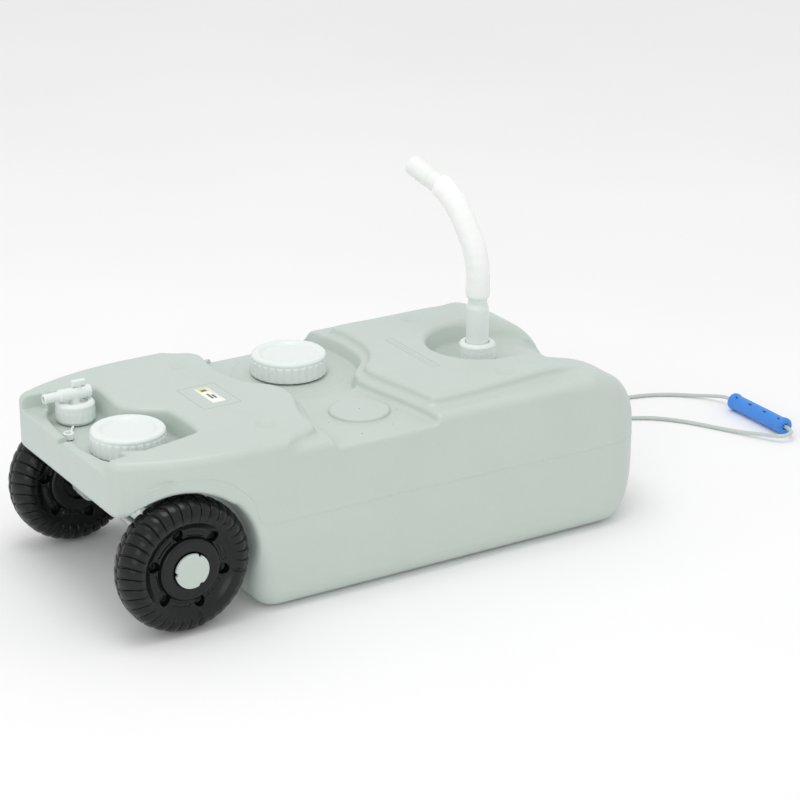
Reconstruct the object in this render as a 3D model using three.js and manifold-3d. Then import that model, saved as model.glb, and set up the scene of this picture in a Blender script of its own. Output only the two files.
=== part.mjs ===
// Portable waste tote: a low hollow tank on two wheels, with two screw caps, a tap,
// a swivelling spout and a tow rope with a grip.
// Millimetres. X runs along the tank towards the tow rope, Y across it, Z up from the floor.
// The origin is the middle of the tank's flat underside. The wheels' axle is parallel to Y.
import * as THREE from "three";
import { mergeVertices } from "three/addons/utils/BufferGeometryUtils.js";
import Module from "manifold-3d";

const wasm = await Module();
wasm.setup();

// ---------------------------------------------------------------- driving dimensions
const GAP = 0.3; // between pieces that touch
const WALL = 4; // of the tank
const UP = new THREE.Vector3(0, 0, 1);
const ROUND = { large: 24, small: 12, wheel: 24 }; // sides of round pieces

const TANK = {
  halfWidth: 195,
  noseX: -471,
  noseHalf: 156, // half width where the nose's corners begin
  flareX: -295, // where the nose has reached full width
  endX: 355,
  endCorner: 80, // plan radius at the rope end
  top: 242, // the two raised plates
  rim: 229, // the shoulder outside the plates
  edge: 14, // rounding of the top edges
  foot: 31, // rounding of the long bottom edges
  noseUnder: 163, // underside between the wheels
};
const END_CURVE = { footX: 80, footZ: 100, browX: 155, browZ: 97 }; // rope end, seen from the side
const CHANNEL_CURVE = { x: 130, z: 76 }; // how the spout recess's floor falls away at the rope end
const AXLE = { x: -385, z: 93.4, radius: 6 };
const ARCH = { radius: 100, innerY: 130, heelX: -247, heelZ: 45 };
const WAIST = { floor: 216, deepFloor: 209, deepRadius: 121, lean: 3, rise: 14 };
const FRONT = {
  floor: 207,
  lean: 4,
  rise: 30,
  lipTop: 220,
  lipX: -461,
  notchY: 10,
  notchHalf: 9,
  notchFloor: 210,
};
const SPOUT_RECESS = { x: 182, radius: 78, floor: 207, lean: 5, rise: 30 };
const BOSS = { x: -76, y: -99, radius: 41.8, top: 221 };
const EAR = { innerY: 104, radius: 16, halfTop: 30 }; // hangs under the nose and holds the axle
const ROPE_EYE = { x: 372, z: 46, radius: 18, halfWidth: 22, rootX: 322, bore: 4.6 };

// Screw caps on open necks. top is the cap's upper face, floor what the neck stands on.
const INLET = { x: -76, y: 99, floor: 209, top: 241, radius: 54.7, ribs: 30, bore: 40, lift: 2 };
const DRAIN = { x: -393, y: -38, floor: 207, top: 239, radius: 51.3, ribs: 30, bore: 37, lift: 2 };
const TAP = { x: -409, y: 93, floor: 207, top: 237, radius: 27.6, ribs: 18, bore: 15, lift: 4.2 };
const SPOUT = { x: 178, y: 0, floor: 213, top: 240, radius: 27, ribs: 18, bore: 15, lift: 2 };
const CAP = { plate: 3, dish: 4, dishInset: 12, rib: 1.1, rim: 5 };
const NECK = { wall: 5, ridge: 1.1, ridgeHeight: 2.2, ridgePitch: 6, gasket: 1.4 };
const FLANGE = { radius: 19.5, thickness: 3, hole: 17.3 }; // held down by the tap's and spout's collars
const SPOUT_PAD = 36; // radius of the raised pad round the spout's neck

const WHEEL = {
  radius: 93.4,
  tyreRadius: 91,
  innerY: 141,
  outerY: 199,
  lugs: 36,
  lugBandY: [152, 188],
  hubRadius: 41,
  dents: 6,
  dentRadius: 7.5,
  dentCircle: 51,
  dentDepth: 9,
  bore: 10.4,
  trough: 8, // depth of the ring-shaped trough in both faces
  hubFace: 190, // the hub's inner face, behind the cap
  vent: 2.5, // the hole on the inner face that opens the hollow tyre
  ventCircle: 72,
};
const HUB_CAP = { radius: 23.8, face: 202, depth: 4, notches: 3, notch: 3 };

const HOSE = { radius: 17.5, bore: 13, turn: 70 }; // turn in degrees, from the nose towards +Y
const GRIP = { x: 713, middleY: 10, z: 14, length: 130, radius: 12.2, flare: 13.8, bore: 4.6 };
const ROPE_RADIUS = 3;

// The tow rope's centre line, from one side of the eye round the grip to the other side.
const ROPE_ROUTE = [
  [372, 16, 46], [372, 32, 44.5], [373, 52, 33], [380, 76, 14], [397, 103, 4.5], [427, 137, 3.3],
  [467, 166, 3.3], [515, 187, 3.3], [565, 197, 3.3], [617, 191, 3.3], [660, 171, 3.3],
  [690, 144, 4.5], [707, 119, 8.5], [713, 96, 13], [713, 74, 14], [713, 30, 14], [713, -30, 14],
  [713, -58, 14], [708, -74, 13], [693, -78, 11.5], [681, -66, 10], [672, -49, 8], [658, -22, 5],
  [644, 5, 3.6], [630, 31, 3.3], [613, 60, 3.3], [593, 86, 3.3], [570, 107, 3.3], [540, 123, 3.3],
  [505, 124, 3.3], [470, 105, 3.3], [436, 66, 3.3], [408, 16, 4.5], [390, -24, 12],
  [379, -44, 30], [373, -37, 43], [372, -16, 46],
];

// The spout hose's centre line, as [reach from the stem's axis, height]: up, then over to one side.
const HOSE_ROUTE = [
  [0, 306.3], [-0.2, 318], [-0.5, 330], [0, 343], [2, 358], [7.2, 379], [19, 403], [31.3, 423.7],
  [43.6, 439.9], [54.5, 450.5], [64, 457.2], [70, 459.9],
];
const NOZZLE = {
  radius: 15.1,
  length: 58,
  collarRadius: 14.5, // the plain band between the hose and the tip
  collarLength: 16,
  bore: 9.5,
  mouth: 7.5,
  dome: 10, // length of the rounded end
  insert: 11.6,
};

// ---------------------------------------------------------------- solids from three.js geometry
// A closed geometry as a manifold-3d solid, its faces turned outwards.
function solid(geometry) {
  const bare = geometry.clone();
  bare.deleteAttribute("normal");
  bare.deleteAttribute("uv");
  const merged = mergeVertices(bare, 1e-4);
  const corners = merged.index.array;
  const faces = [];
  for (let i = 0; i < corners.length; i += 3) {
    const [a, b, c] = corners.slice(i, i + 3);
    if (a !== b && b !== c && c !== a) faces.push(a, b, c);
  }
  const build = (triVerts) =>
    new wasm.Manifold(
      new wasm.Mesh({
        numProp: 3,
        vertProperties: new Float32Array(merged.attributes.position.array),
        triVerts: new Uint32Array(triVerts),
      }),
    );
  const made = build(faces);
  return made.volume() > 0 ? made : build(faces.reverse());
}

// The solid as a three.js geometry again.
function geometryOf(body) {
  const mesh = body.getMesh();
  const positions = new Float32Array(mesh.numVert * 3);
  for (let i = 0; i < mesh.numVert; i++) {
    const start = i * mesh.numProp;
    positions.set(mesh.vertProperties.subarray(start, start + 3), i * 3);
  }
  const geometry = new THREE.BufferGeometry();
  geometry.setAttribute("position", new THREE.BufferAttribute(positions, 3));
  geometry.setIndex(new THREE.BufferAttribute(new Uint32Array(mesh.triVerts), 1));
  geometry.computeVertexNormals();
  return geometry;
}

const join = (first, ...others) => others.reduce((all, other) => all.add(other), first);
const cut = (first, ...others) => others.reduce((all, other) => all.subtract(other), first);

// A plan outline (X, Y) raised from z0 to z1. edge rounds both ends; grow offsets the outline.
function upright(shape, z0, z1, { edge = 0, steps = 2, grow = 0, segments = 3 } = {}) {
  const size = Math.max(edge, Math.abs(grow) > 0 ? 0.01 : 0);
  const geometry = new THREE.ExtrudeGeometry(shape, {
    depth: z1 - z0 - 2 * size,
    bevelEnabled: size > 0,
    bevelThickness: size,
    bevelSize: size,
    bevelOffset: grow - size,
    bevelSegments: edge > 0 ? steps : 1,
    curveSegments: segments,
  });
  return solid(geometry.translate(0, 0, z0 + size));
}

// A cutter with an outline at its floor that widens by lean over its first rise of height.
function pocket(shape, floor, lean, rise, grow = 0) {
  const geometry = new THREE.ExtrudeGeometry(shape, {
    depth: 100,
    bevelThickness: rise,
    bevelSize: lean,
    bevelOffset: grow - lean,
    bevelSegments: 1,
    curveSegments: 5,
  });
  return solid(geometry.translate(0, 0, floor + rise));
}

// A side outline (X, Z) carried across from y0 to y1.
function crosswise(shape, y0, y1, segments = 5) {
  const geometry = new THREE.ExtrudeGeometry(shape, {
    depth: y1 - y0,
    bevelEnabled: false,
    curveSegments: segments,
  });
  return solid(geometry.rotateX(Math.PI / 2).translate(0, y1, 0));
}

// A closed profile of [radius, height] points turned about a vertical axis at (x, y).
function turned(profile, x, y, segments = ROUND.large) {
  const points = profile.map(([radius, height]) => new THREE.Vector2(radius, height));
  const geometry = new THREE.LatheGeometry([...points, points[0]], segments);
  return solid(geometry.rotateX(Math.PI / 2).translate(x, y, 0));
}

// The same, turned about the line through (x, z) parallel to Y; heights run along +Y.
function turnedAcross(profile, x, z, segments = ROUND.wheel) {
  const points = profile.map(([radius, height]) => new THREE.Vector2(radius, height));
  const geometry = new THREE.LatheGeometry([...points, points[0]], segments);
  return solid(geometry.translate(x, 0, z));
}

const disc = (radius, z0, z1, x, y, segments = ROUND.large) =>
  turned([[0, z0], [radius, z0], [radius, z1], [0, z1]], x, y, segments);

const ring = (bore, radius, z0, z1, x, y, segments = ROUND.large) =>
  turned([[bore, z0], [radius, z0], [radius, z1], [bore, z1]], x, y, segments);

const discAcross = (radius, y0, y1, x, z, segments = ROUND.small) =>
  turnedAcross([[0, y0], [radius, y0], [radius, y1], [0, y1]], x, z, segments);

const ringAcross = (bore, radius, y0, y1, x, z, segments = ROUND.small) =>
  turnedAcross([[bore, y0], [radius, y0], [radius, y1], [bore, y1]], x, z, segments);

// The two ends of a stretch of Y on one side of the tank, the lower one first.
const span = (side, from, to) => [side * from, side * to].sort((a, b) => a - b);

const outline = (points) => new THREE.Shape(points.map(([x, y]) => new THREE.Vector2(x, y)));

// A round section swept along a curve; a bore above zero makes it a pipe.
function pipe(curve, radius, bore, sides, steps) {
  const section = new THREE.Shape().absarc(0, 0, radius, 0, 2 * Math.PI, false);
  if (bore > 0) section.holes.push(new THREE.Path().absarc(0, 0, bore, 0, 2 * Math.PI, true));
  const settings = { extrudePath: curve, steps, curveSegments: sides / 2, bevelEnabled: false };
  return solid(new THREE.ExtrudeGeometry(section, settings));
}

// ---------------------------------------------------------------- the object and its materials
const tote = new THREE.Group();
tote.name = "waste_tote";

const FINISHES = {
  tank: { color: 0xc3ccc6, roughness: 0.42, metalness: 0 },
  white: { color: 0xe6ede8, roughness: 0.38, metalness: 0 },
  hose: { color: 0xeef1ee, roughness: 0.5, metalness: 0 },
  tyre: { color: 0x292d2b, roughness: 0.45, metalness: 0 },
  steel: { color: 0xb4b7b8, roughness: 0.3, metalness: 1 },
  seal: { color: 0x2c2d2d, roughness: 0.7, metalness: 0 },
  grip: { color: 0x3f87df, roughness: 0.4, metalness: 0 },
  rope: { color: 0xaab5ae, roughness: 0.8, metalness: 0 },
  label: { color: 0xf4f3ee, roughness: 0.5, metalness: 0 },
};

function place(name, body, finish) {
  const mesh = new THREE.Mesh(geometryOf(body), new THREE.MeshStandardMaterial(FINISHES[finish]));
  mesh.name = name;
  tote.add(mesh);
}

// ---------------------------------------------------------------- tank
// The rope end's two plan corners, added to an outline that has reached the near side.
function addRopeEnd(shape, t) {
  const cornerX = TANK.endX - TANK.endCorner;
  const cornerY = TANK.halfWidth - TANK.endCorner;
  const radius = TANK.endCorner - t;
  shape.lineTo(cornerX, -TANK.halfWidth + t);
  shape.absarc(cornerX, -cornerY, radius, -Math.PI / 2, 0, false);
  shape.absarc(cornerX, cornerY, radius, 0, Math.PI / 2, false);
}

// The same outline without the nose's taper: the rounded foot is only under the wide part.
function footShape(t) {
  const half = TANK.halfWidth - t;
  const shape = new THREE.Shape();
  shape.moveTo(2 * TANK.noseX, -half);
  addRopeEnd(shape, t);
  shape.lineTo(2 * TANK.noseX, half);
  return shape;
}

// The tank's outline from above, t inside its outer face.
function planShape(t) {
  const half = TANK.halfWidth - t;
  const nose = TANK.noseX + t;
  const noseHalf = TANK.noseHalf - t;
  const shape = new THREE.Shape();
  shape.moveTo(TANK.flareX, -half);
  addRopeEnd(shape, t);
  shape.lineTo(TANK.flareX, half);
  shape.quadraticCurveTo(TANK.flareX - 90, half - 3, nose + 16, noseHalf);
  shape.quadraticCurveTo(nose, noseHalf - 6, nose, noseHalf - 22);
  shape.lineTo(nose, 22 - noseHalf);
  shape.quadraticCurveTo(nose, 6 - noseHalf, nose + 16, -noseHalf);
  shape.quadraticCurveTo(TANK.flareX - 90, 3 - half, TANK.flareX, -half);
  return shape;
}

// The tank's outline from the side, t inside its outer face, without the wheel wells.
function sideShape(t) {
  const { footX, footZ, browX, browZ } = END_CURVE;
  const nose = TANK.noseX + t;
  const under = TANK.noseUnder + t;
  const radius = ARCH.radius + t;
  const angle = Math.asin((under - AXLE.z) / radius);
  const shape = new THREE.Shape();
  shape.moveTo(ARCH.heelX + t, t);
  shape.lineTo(TANK.endX - footX, t);
  shape.absellipse(TANK.endX - footX, footZ, footX - t, footZ - t, -Math.PI / 2, 0, false, 0);
  shape.absellipse(
    TANK.endX - browX, TANK.top - browZ, browX - t, browZ - t, 0, Math.PI / 2, false, 0,
  );
  shape.lineTo(nose + 8, TANK.top - t);
  shape.quadraticCurveTo(nose, TANK.top - t - 2, nose, TANK.top - t - 10);
  shape.lineTo(nose, under + 10);
  shape.quadraticCurveTo(nose, under, nose + 10, under);
  shape.absarc(AXLE.x, AXLE.z, radius, angle, 0, true);
  shape.lineTo(AXLE.x + radius, ARCH.heelZ);
  shape.quadraticCurveTo(AXLE.x + radius, t, ARCH.heelX + t, t);
  return shape;
}

// Edge of the nose-side plate, from the near side to the far side, along the waist.
const PLATE_EDGE = [
  [-235, -186], [-182, -172], [-177, -140], [-173, -108], [-159, -74], [-150, -48], [-148, -22],
  [-158, 2], [-178, 20], [-190, 42], [-196, 75], [-194, 120], [-184, 165], [-235, 186],
];
// Edge of the rope-side plate, the same way.
const FAR_PLATE_EDGE = [
  [5, -170], [2, -140], [-4, -100], [-12, -60], [-17, -30], [-15, -6], [5, 14], [20, 36],
  [30, 60], [34, 100], [33, 140], [20, 168],
];
const SHOULDER_END = 242; // X where the rope-side shoulder has faded out
const OUTSIDE = 230; // clear of the tank in Y
const BEYOND_END = 400; // clear of the tank in X
const ABOVE = 300; // clear of the tank in Z
const BELOW = 100;

const nosePlate = outline([[-500, -OUTSIDE], [-245, -OUTSIDE], ...PLATE_EDGE,
  [-245, OUTSIDE], [-500, OUTSIDE]]);
const ropePlate = outline([[280, -OUTSIDE], [258, -152], [SHOULDER_END, -143], ...FAR_PLATE_EDGE,
  [SHOULDER_END, 143], [258, 152], [280, OUTSIDE], [400, OUTSIDE], [400, -OUTSIDE]]);

// The waist's floor lies between the two plates.
const waist = outline([[-177, -OUTSIDE], [-166, -170], [-164, -120], [-150, -74], [-141, -46],
  [-139, -20], [-149, 8], [-169, 28], [-181, 46], [-187, 75], [-185, 120], [-176, 165],
  [-176, OUTSIDE], [6, OUTSIDE], [10, 168], [21, 140], [22, 100], [18, 62], [8, 40], [-8, 24],
  [-28, 0], [-27, -30], [-22, -60], [-14, -100], [-7, -140], [-4, -170], [-2, -OUTSIDE]]);

// The pocket in the nose: a near lobe round the drain cap and a far lobe round the tap.
const frontPocket = outline([[FRONT.lipX, -133], [-328, -106], [-319, -94], [-319, -16],
  [-330, -5], [-350, 6], [-366, 22], [-374, 38], [-367, 106], [-376, 121], [FRONT.lipX, 138]]);
const frontMouth = outline([[-500, -138], [-440, -130], [-440, 131], [-500, 139]]);
const frontNotch = outline([[-500, FRONT.notchY - FRONT.notchHalf],
  [-450, FRONT.notchY - FRONT.notchHalf], [-450, FRONT.notchY + FRONT.notchHalf],
  [-500, FRONT.notchY + FRONT.notchHalf]]);

function spoutRecess() {
  const { x, radius } = SPOUT_RECESS;
  const shape = new THREE.Shape();
  shape.moveTo(BEYOND_END, 0);
  shape.lineTo(BEYOND_END, radius);
  shape.absarc(x, 0, radius, Math.PI / 2, 1.5 * Math.PI, false);
  shape.lineTo(BEYOND_END, -radius);
  return shape;
}

// The space over the recess's falling floor at the rope end, seen from the side.
function channelShape(t) {
  const { x, z } = CHANNEL_CURVE;
  const startX = TANK.endX - x;
  const centreZ = SPOUT_RECESS.floor - z;
  const shape = new THREE.Shape();
  shape.moveTo(startX, ABOVE);
  shape.lineTo(startX, SPOUT_RECESS.floor - t);
  shape.absellipse(startX, centreZ, x - t, z - t, Math.PI / 2, 0, true, 0);
  shape.lineTo(BEYOND_END, centreZ);
  shape.lineTo(BEYOND_END, ABOVE);
  return shape;
}

// The outer body when t is 0, and what it holds when t is the wall's thickness.
function tankBody(t) {
  const plan = planShape(t);
  const low = upright(footShape(t), t, ABOVE + TANK.foot, { edge: TANK.foot - t });
  const shoulder = upright(plan, -BELOW, TANK.rim - t, { edge: TANK.edge });
  const crown = upright(plan, -BELOW, TANK.top - t, { edge: TANK.edge });
  const outerSide = crosswise(sideShape(t), -OUTSIDE, OUTSIDE);
  const plates = join(
    upright(nosePlate, TANK.noseUnder, ABOVE, { grow: -t }),
    upright(ropePlate, TANK.noseUnder, ABOVE, { grow: -t }),
  );
  const full = join(low.intersect(shoulder), low.intersect(crown).intersect(plates));
  const wells = [-1, 1].map((side) =>
    discAcross(ARCH.radius + t, ...span(side, ARCH.innerY - t, OUTSIDE), AXLE.x, AXLE.z, 36));
  const deepWaist = pocket(waist, WAIST.deepFloor - t, WAIST.lean, WAIST.rise, t)
    .intersect(disc(WAIST.deepRadius + t, WAIST.deepFloor - t, ABOVE, INLET.x, INLET.y));
  const channelHalf = SPOUT_RECESS.radius - SPOUT_RECESS.lean + t;
  return cut(
    full.intersect(outerSide),
    ...wells,
    crosswise(channelShape(t), -channelHalf, channelHalf, 8),
    pocket(waist, WAIST.floor - t, WAIST.lean, WAIST.rise, t),
    deepWaist,
    pocket(frontPocket, FRONT.floor - t, FRONT.lean, FRONT.rise, t),
    upright(frontMouth, FRONT.lipTop - t, ABOVE, { grow: t }),
    upright(frontNotch, FRONT.notchFloor - t, ABOVE, { grow: t }),
    pocket(spoutRecess(), SPOUT_RECESS.floor - t, SPOUT_RECESS.lean, SPOUT_RECESS.rise, t),
  );
}

// An open neck with ridges for a screw cap; it starts inside the tank's wall.
function neck(spec, cap) {
  const { x, y, floor, bore } = spec;
  const outer = bore + NECK.wall;
  const top = cap.neckTop;
  const profile = [[bore, floor - WALL + 1], [outer, floor - WALL + 1]];
  for (let z = floor + 6; z + NECK.ridgeHeight < top - 2; z += NECK.ridgePitch) {
    profile.push([outer, z], [outer + NECK.ridge, z + NECK.ridgeHeight / 2]);
    profile.push([outer, z + NECK.ridgeHeight]);
  }
  profile.push([outer, top], [bore, top]);
  return turned(profile, x, y);
}

// Heights shared by a cap, what it holds down, its gasket and the neck under it.
function capHeights(spec, plate, held) {
  const under = spec.top - plate;
  const gasketTop = under - held - GAP;
  const gasketZ = gasketTop - NECK.gasket;
  return { under, gasketZ, gasketTop, neckTop: gasketZ - GAP };
}
const inletCap = capHeights(INLET, CAP.plate + CAP.dish, 0);
const drainCap = capHeights(DRAIN, CAP.plate + CAP.dish, 0);
const tapCap = capHeights(TAP, CAP.plate, FLANGE.thickness + GAP);
const spoutCap = capHeights(SPOUT, CAP.plate, FLANGE.thickness + GAP);

// The ear that hangs under the nose beside one wheel, with the axle's bore through it.
function ear(side) {
  const rootZ = TANK.noseUnder + WALL / 2;
  const shape = new THREE.Shape();
  shape.moveTo(AXLE.x - EAR.halfTop, rootZ);
  shape.lineTo(AXLE.x - EAR.radius, AXLE.z);
  shape.absarc(AXLE.x, AXLE.z, EAR.radius, Math.PI, 2 * Math.PI, false);
  shape.lineTo(AXLE.x + EAR.halfTop, rootZ);
  return crosswise(shape, ...span(side, EAR.innerY, ARCH.innerY));
}

// The eye at the rope end, with a hole across it for the rope.
function ropeEye() {
  const { x, z, radius, rootX, halfWidth } = ROPE_EYE;
  const shape = new THREE.Shape();
  shape.moveTo(rootX, z - radius);
  shape.lineTo(x, z - radius);
  shape.absarc(x, z, radius, -Math.PI / 2, Math.PI / 2, false);
  shape.lineTo(rootX, z + radius);
  return crosswise(shape, -halfWidth, halfWidth);
}

function tankShell() {
  const dimples = [[-234, -126], [-234, 126], [143.5, -126], [143.5, 126]].map(([x, y]) =>
    turned([[0, TANK.top - 4], [7, TANK.top - 3.6], [15, TANK.top + 1], [0, TANK.top + 1]], x, y, 10),
  );
  const necks = [[INLET, inletCap], [DRAIN, drainCap], [TAP, tapCap], [SPOUT, spoutCap]];
  const bores = necks.map(([{ bore, floor, x, y }]) => disc(bore, floor - 30, ABOVE, x, y));
  const body = join(
    tankBody(0).subtract(tankBody(WALL)),
    ...necks.map(([spec, cap]) => neck(spec, cap)),
    disc(SPOUT_PAD, SPOUT_RECESS.floor - 1, SPOUT.floor, SPOUT.x, SPOUT.y),
    disc(BOSS.radius, WAIST.floor - 1, BOSS.top, BOSS.x, BOSS.y),
    ear(-1),
    ear(1),
    ropeEye(),
  );
  const inside = tankBody(WALL);
  const axleBore = discAcross(AXLE.radius + GAP, -OUTSIDE, OUTSIDE, AXLE.x, AXLE.z);
  const ropeBore = discAcross(ROPE_EYE.bore, -OUTSIDE, OUTSIDE, ROPE_EYE.x, ROPE_EYE.z, 16);
  return cut(body, ...bores, ...dimples, axleBore, ropeBore, inside.intersect(ropeEye()));
}

place("tank_shell", tankShell(), "tank");

// ---------------------------------------------------------------- screw caps and collars
// A cap's outer skin: a ribbed band under a smooth rounded rim. hole > 0 opens its top.
function ribbedCap(spec, heights, hole) {
  const { x, y, radius, ribs, bore, floor, top, lift } = spec;
  const bottom = floor + lift;
  const shoulder = top - CAP.rim;
  const root = radius - CAP.rib;
  const cavity = bore + NECK.wall + NECK.ridge + GAP;
  const dish = hole > 0 ? [[hole, top]] : [
    [radius - CAP.dishInset, top],
    [radius - CAP.dishInset - 3, top - CAP.dish],
    [0, top - CAP.dish],
  ];
  const core = turned([
    [cavity, bottom],
    [root, bottom],
    [root, shoulder],
    [radius - 1.5, top - 1.8],
    [radius - 4, top],
    ...dish,
    [hole, heights.under],
    [cavity, heights.under],
  ], x, y);
  const points = [];
  for (let i = 0; i < 2 * ribs; i++) {
    const reach = i % 2 ? root - 0.3 : radius;
    const angle = (i * Math.PI) / ribs;
    points.push([x + reach * Math.cos(angle), y + reach * Math.sin(angle)]);
  }
  const band = upright(outline(points), bottom + 0.8, shoulder + 1);
  return core.add(band.subtract(disc(root - 0.6, 0, 400, x, y)));
}

function gasket(spec, heights) {
  const { gasketZ, gasketTop } = heights;
  return ring(spec.bore + 0.8, spec.bore + NECK.wall, gasketZ, gasketTop, spec.x, spec.y, ROUND.small);
}

place("inlet_cap", ribbedCap(INLET, inletCap, 0), "white");
place("inlet_gasket", gasket(INLET, inletCap), "seal");
place("drain_cap", ribbedCap(DRAIN, drainCap, 0), "white");
place("drain_gasket", gasket(DRAIN, drainCap), "seal");
place("tap_collar", ribbedCap(TAP, tapCap, FLANGE.hole), "white");
place("tap_gasket", gasket(TAP, tapCap), "seal");
place("spout_collar", ribbedCap(SPOUT, spoutCap, FLANGE.hole), "white");
place("spout_gasket", gasket(SPOUT, spoutCap), "seal");

// ---------------------------------------------------------------- tap
const BARREL = { z: 247, radius: 8.5, backX: -386, stepX: -432, tipX: -455, outlet: 6, bore: 4 };
const HANDLE = { x: -403, stem: 3.6, reach: 10, half: 3.6, z0: 257, z1: 265 };

// A lathe profile along X at the tap's barrel height.
function turnedAlong(profile, z, segments = 20) {
  const points = profile.map(([radius, x]) => new THREE.Vector2(radius, x));
  const geometry = new THREE.LatheGeometry([...points, points[0]], segments);
  return solid(geometry.rotateZ(-Math.PI / 2).translate(0, TAP.y, z));
}

function tapBody() {
  const { z, radius, backX, stepX, tipX, outlet, bore } = BARREL;
  const flangeZ = tapCap.gasketTop + GAP;
  const flangeTop = flangeZ + FLANGE.thickness;
  const barrel = turnedAlong([
    [0, tipX], [outlet, tipX], [outlet, stepX - 3], [radius, stepX],
    [radius, backX - 2], [radius - 2, backX], [0, backX],
  ], z);
  const hub = turned([
    [0, flangeZ], [FLANGE.radius, flangeZ], [FLANGE.radius, flangeTop], [7.5, flangeTop],
    [6.5, z - 2], [0, z - 2],
  ], TAP.x, TAP.y, 24);
  const way = turnedAlong([[0, tipX - 5], [bore, tipX - 5], [bore, -396], [0, -396]], z, 12);
  const down = disc(bore, flangeZ - 1, z, TAP.x, TAP.y, 12);
  const plugHole = disc(HANDLE.stem + GAP, z + 1, z + 20, HANDLE.x, TAP.y, 16);
  return cut(barrel.add(hub), way, down, plugHole);
}

function tapHandle() {
  const { x, stem, reach, half, z0, z1 } = HANDLE;
  const blade = new THREE.Shape();
  blade.absarc(x - reach + half, TAP.y, half, Math.PI / 2, 1.5 * Math.PI, false);
  blade.absarc(x + reach - half, TAP.y, half, -Math.PI / 2, Math.PI / 2, false);
  return upright(blade, z0, z1, { edge: 1.2, steps: 2 })
    .add(disc(stem, BARREL.z + 4.8, z0 + 2, x, TAP.y, 16));
}

// The neck ring, strap and small dust cap that hang on under the collar.
const DUST_CAP = { x: -446, y: 35, z: 213.5, radius: 8, height: 9 };
function tapTether() {
  const strapZ = [TAP.floor + 1.8, TAP.floor + 3.4];
  const { x, y, z, radius, height } = DUST_CAP;
  const hold = ring(TAP.bore + NECK.wall + 1.5, 25, ...strapZ, TAP.x, TAP.y, 28);
  const toCap = new THREE.Vector2(x - TAP.x, y - TAP.y);
  const along = toCap.clone().normalize();
  const across = new THREE.Vector2(-along.y, along.x).multiplyScalar(2);
  const start = along.clone().multiplyScalar(23.5);
  const strap = outline([
    [TAP.x + start.x + across.x, TAP.y + start.y + across.y],
    [TAP.x + start.x - across.x, TAP.y + start.y - across.y],
    [x - across.x, y - across.y],
    [x + across.x, y + across.y],
  ]);
  const cup = turned([
    [0, z - 5], [radius - 1, z - 5], [radius, z - 4], [radius, z + height - 6],
    [radius - 1.5, z + height - 5], [4.5, z + height - 5], [4.5, z - 1], [0, z - 1],
  ], x, y, 16);
  return join(hold, upright(strap, ...strapZ), cup);
}

place("tap_body", tapBody(), "white");
place("tap_handle", tapHandle(), "white");
place("tap_tether_cap", tapTether(), "white");

// ---------------------------------------------------------------- spout
const STEM = {
  radius: 16.3,
  bore: 9.5,
  shoulderZ: 294,
  groove: 13.8,
  topZ: 306,
  insert: 11.8,
  insertLength: 14,
};

function spoutStem() {
  const z = spoutCap.gasketTop + GAP;
  const { radius, bore, shoulderZ, groove, topZ, insert, insertLength } = STEM;
  return turned([
    [bore, z], [FLANGE.radius, z], [FLANGE.radius, z + FLANGE.thickness],
    [radius, z + FLANGE.thickness], [radius, shoulderZ],
    [groove, shoulderZ + 5], [groove, topZ], [insert, topZ], [insert, topZ + insertLength],
    [bore, topZ + insertLength],
  ], SPOUT.x, SPOUT.y, 24);
}

const hoseTurn = THREE.MathUtils.degToRad(HOSE.turn);
const hoseCurve = new THREE.CatmullRomCurve3(
  HOSE_ROUTE.map(([reach, z]) => {
    return new THREE.Vector3(
      SPOUT.x - reach * Math.cos(hoseTurn),
      SPOUT.y + reach * Math.sin(hoseTurn),
      z,
    );
  }),
);

// The nozzle carries on straight from the hose's end.
function spoutNozzle() {
  const { radius, length, collarRadius, collarLength, bore, mouth, dome, insert } = NOZZLE;
  const plugIn = 9;
  const throat = 6; // length of the narrow mouth
  const domeSteps = 4;
  const profile = [
    [bore, -plugIn], [insert, -plugIn], [insert, GAP], [collarRadius, GAP],
    [collarRadius, collarLength], [radius, collarLength],
  ];
  for (let k = 0; k <= domeSteps; k++) {
    const angle = (k / domeSteps) * (Math.PI / 2);
    const reach = mouth + (radius - mouth) * Math.cos(angle);
    profile.push([reach, length - dome + dome * Math.sin(angle)]);
  }
  profile.push([mouth, length - throat], [bore, length - throat - 2], [bore, -plugIn]);
  const direction = hoseCurve.getTangent(1);
  const geometry = new THREE.LatheGeometry(profile.map(([r, h]) => new THREE.Vector2(r, h)), 20);
  geometry.rotateX(Math.PI / 2);
  geometry.applyQuaternion(new THREE.Quaternion().setFromUnitVectors(UP, direction));
  return solid(geometry.translate(...hoseCurve.getPoint(1).toArray()));
}

place("spout_stem", spoutStem(), "white");
place("spout_hose", pipe(hoseCurve, HOSE.radius, HOSE.bore, 14, 12), "hose");
place("spout_nozzle", spoutNozzle(), "hose");

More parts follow.
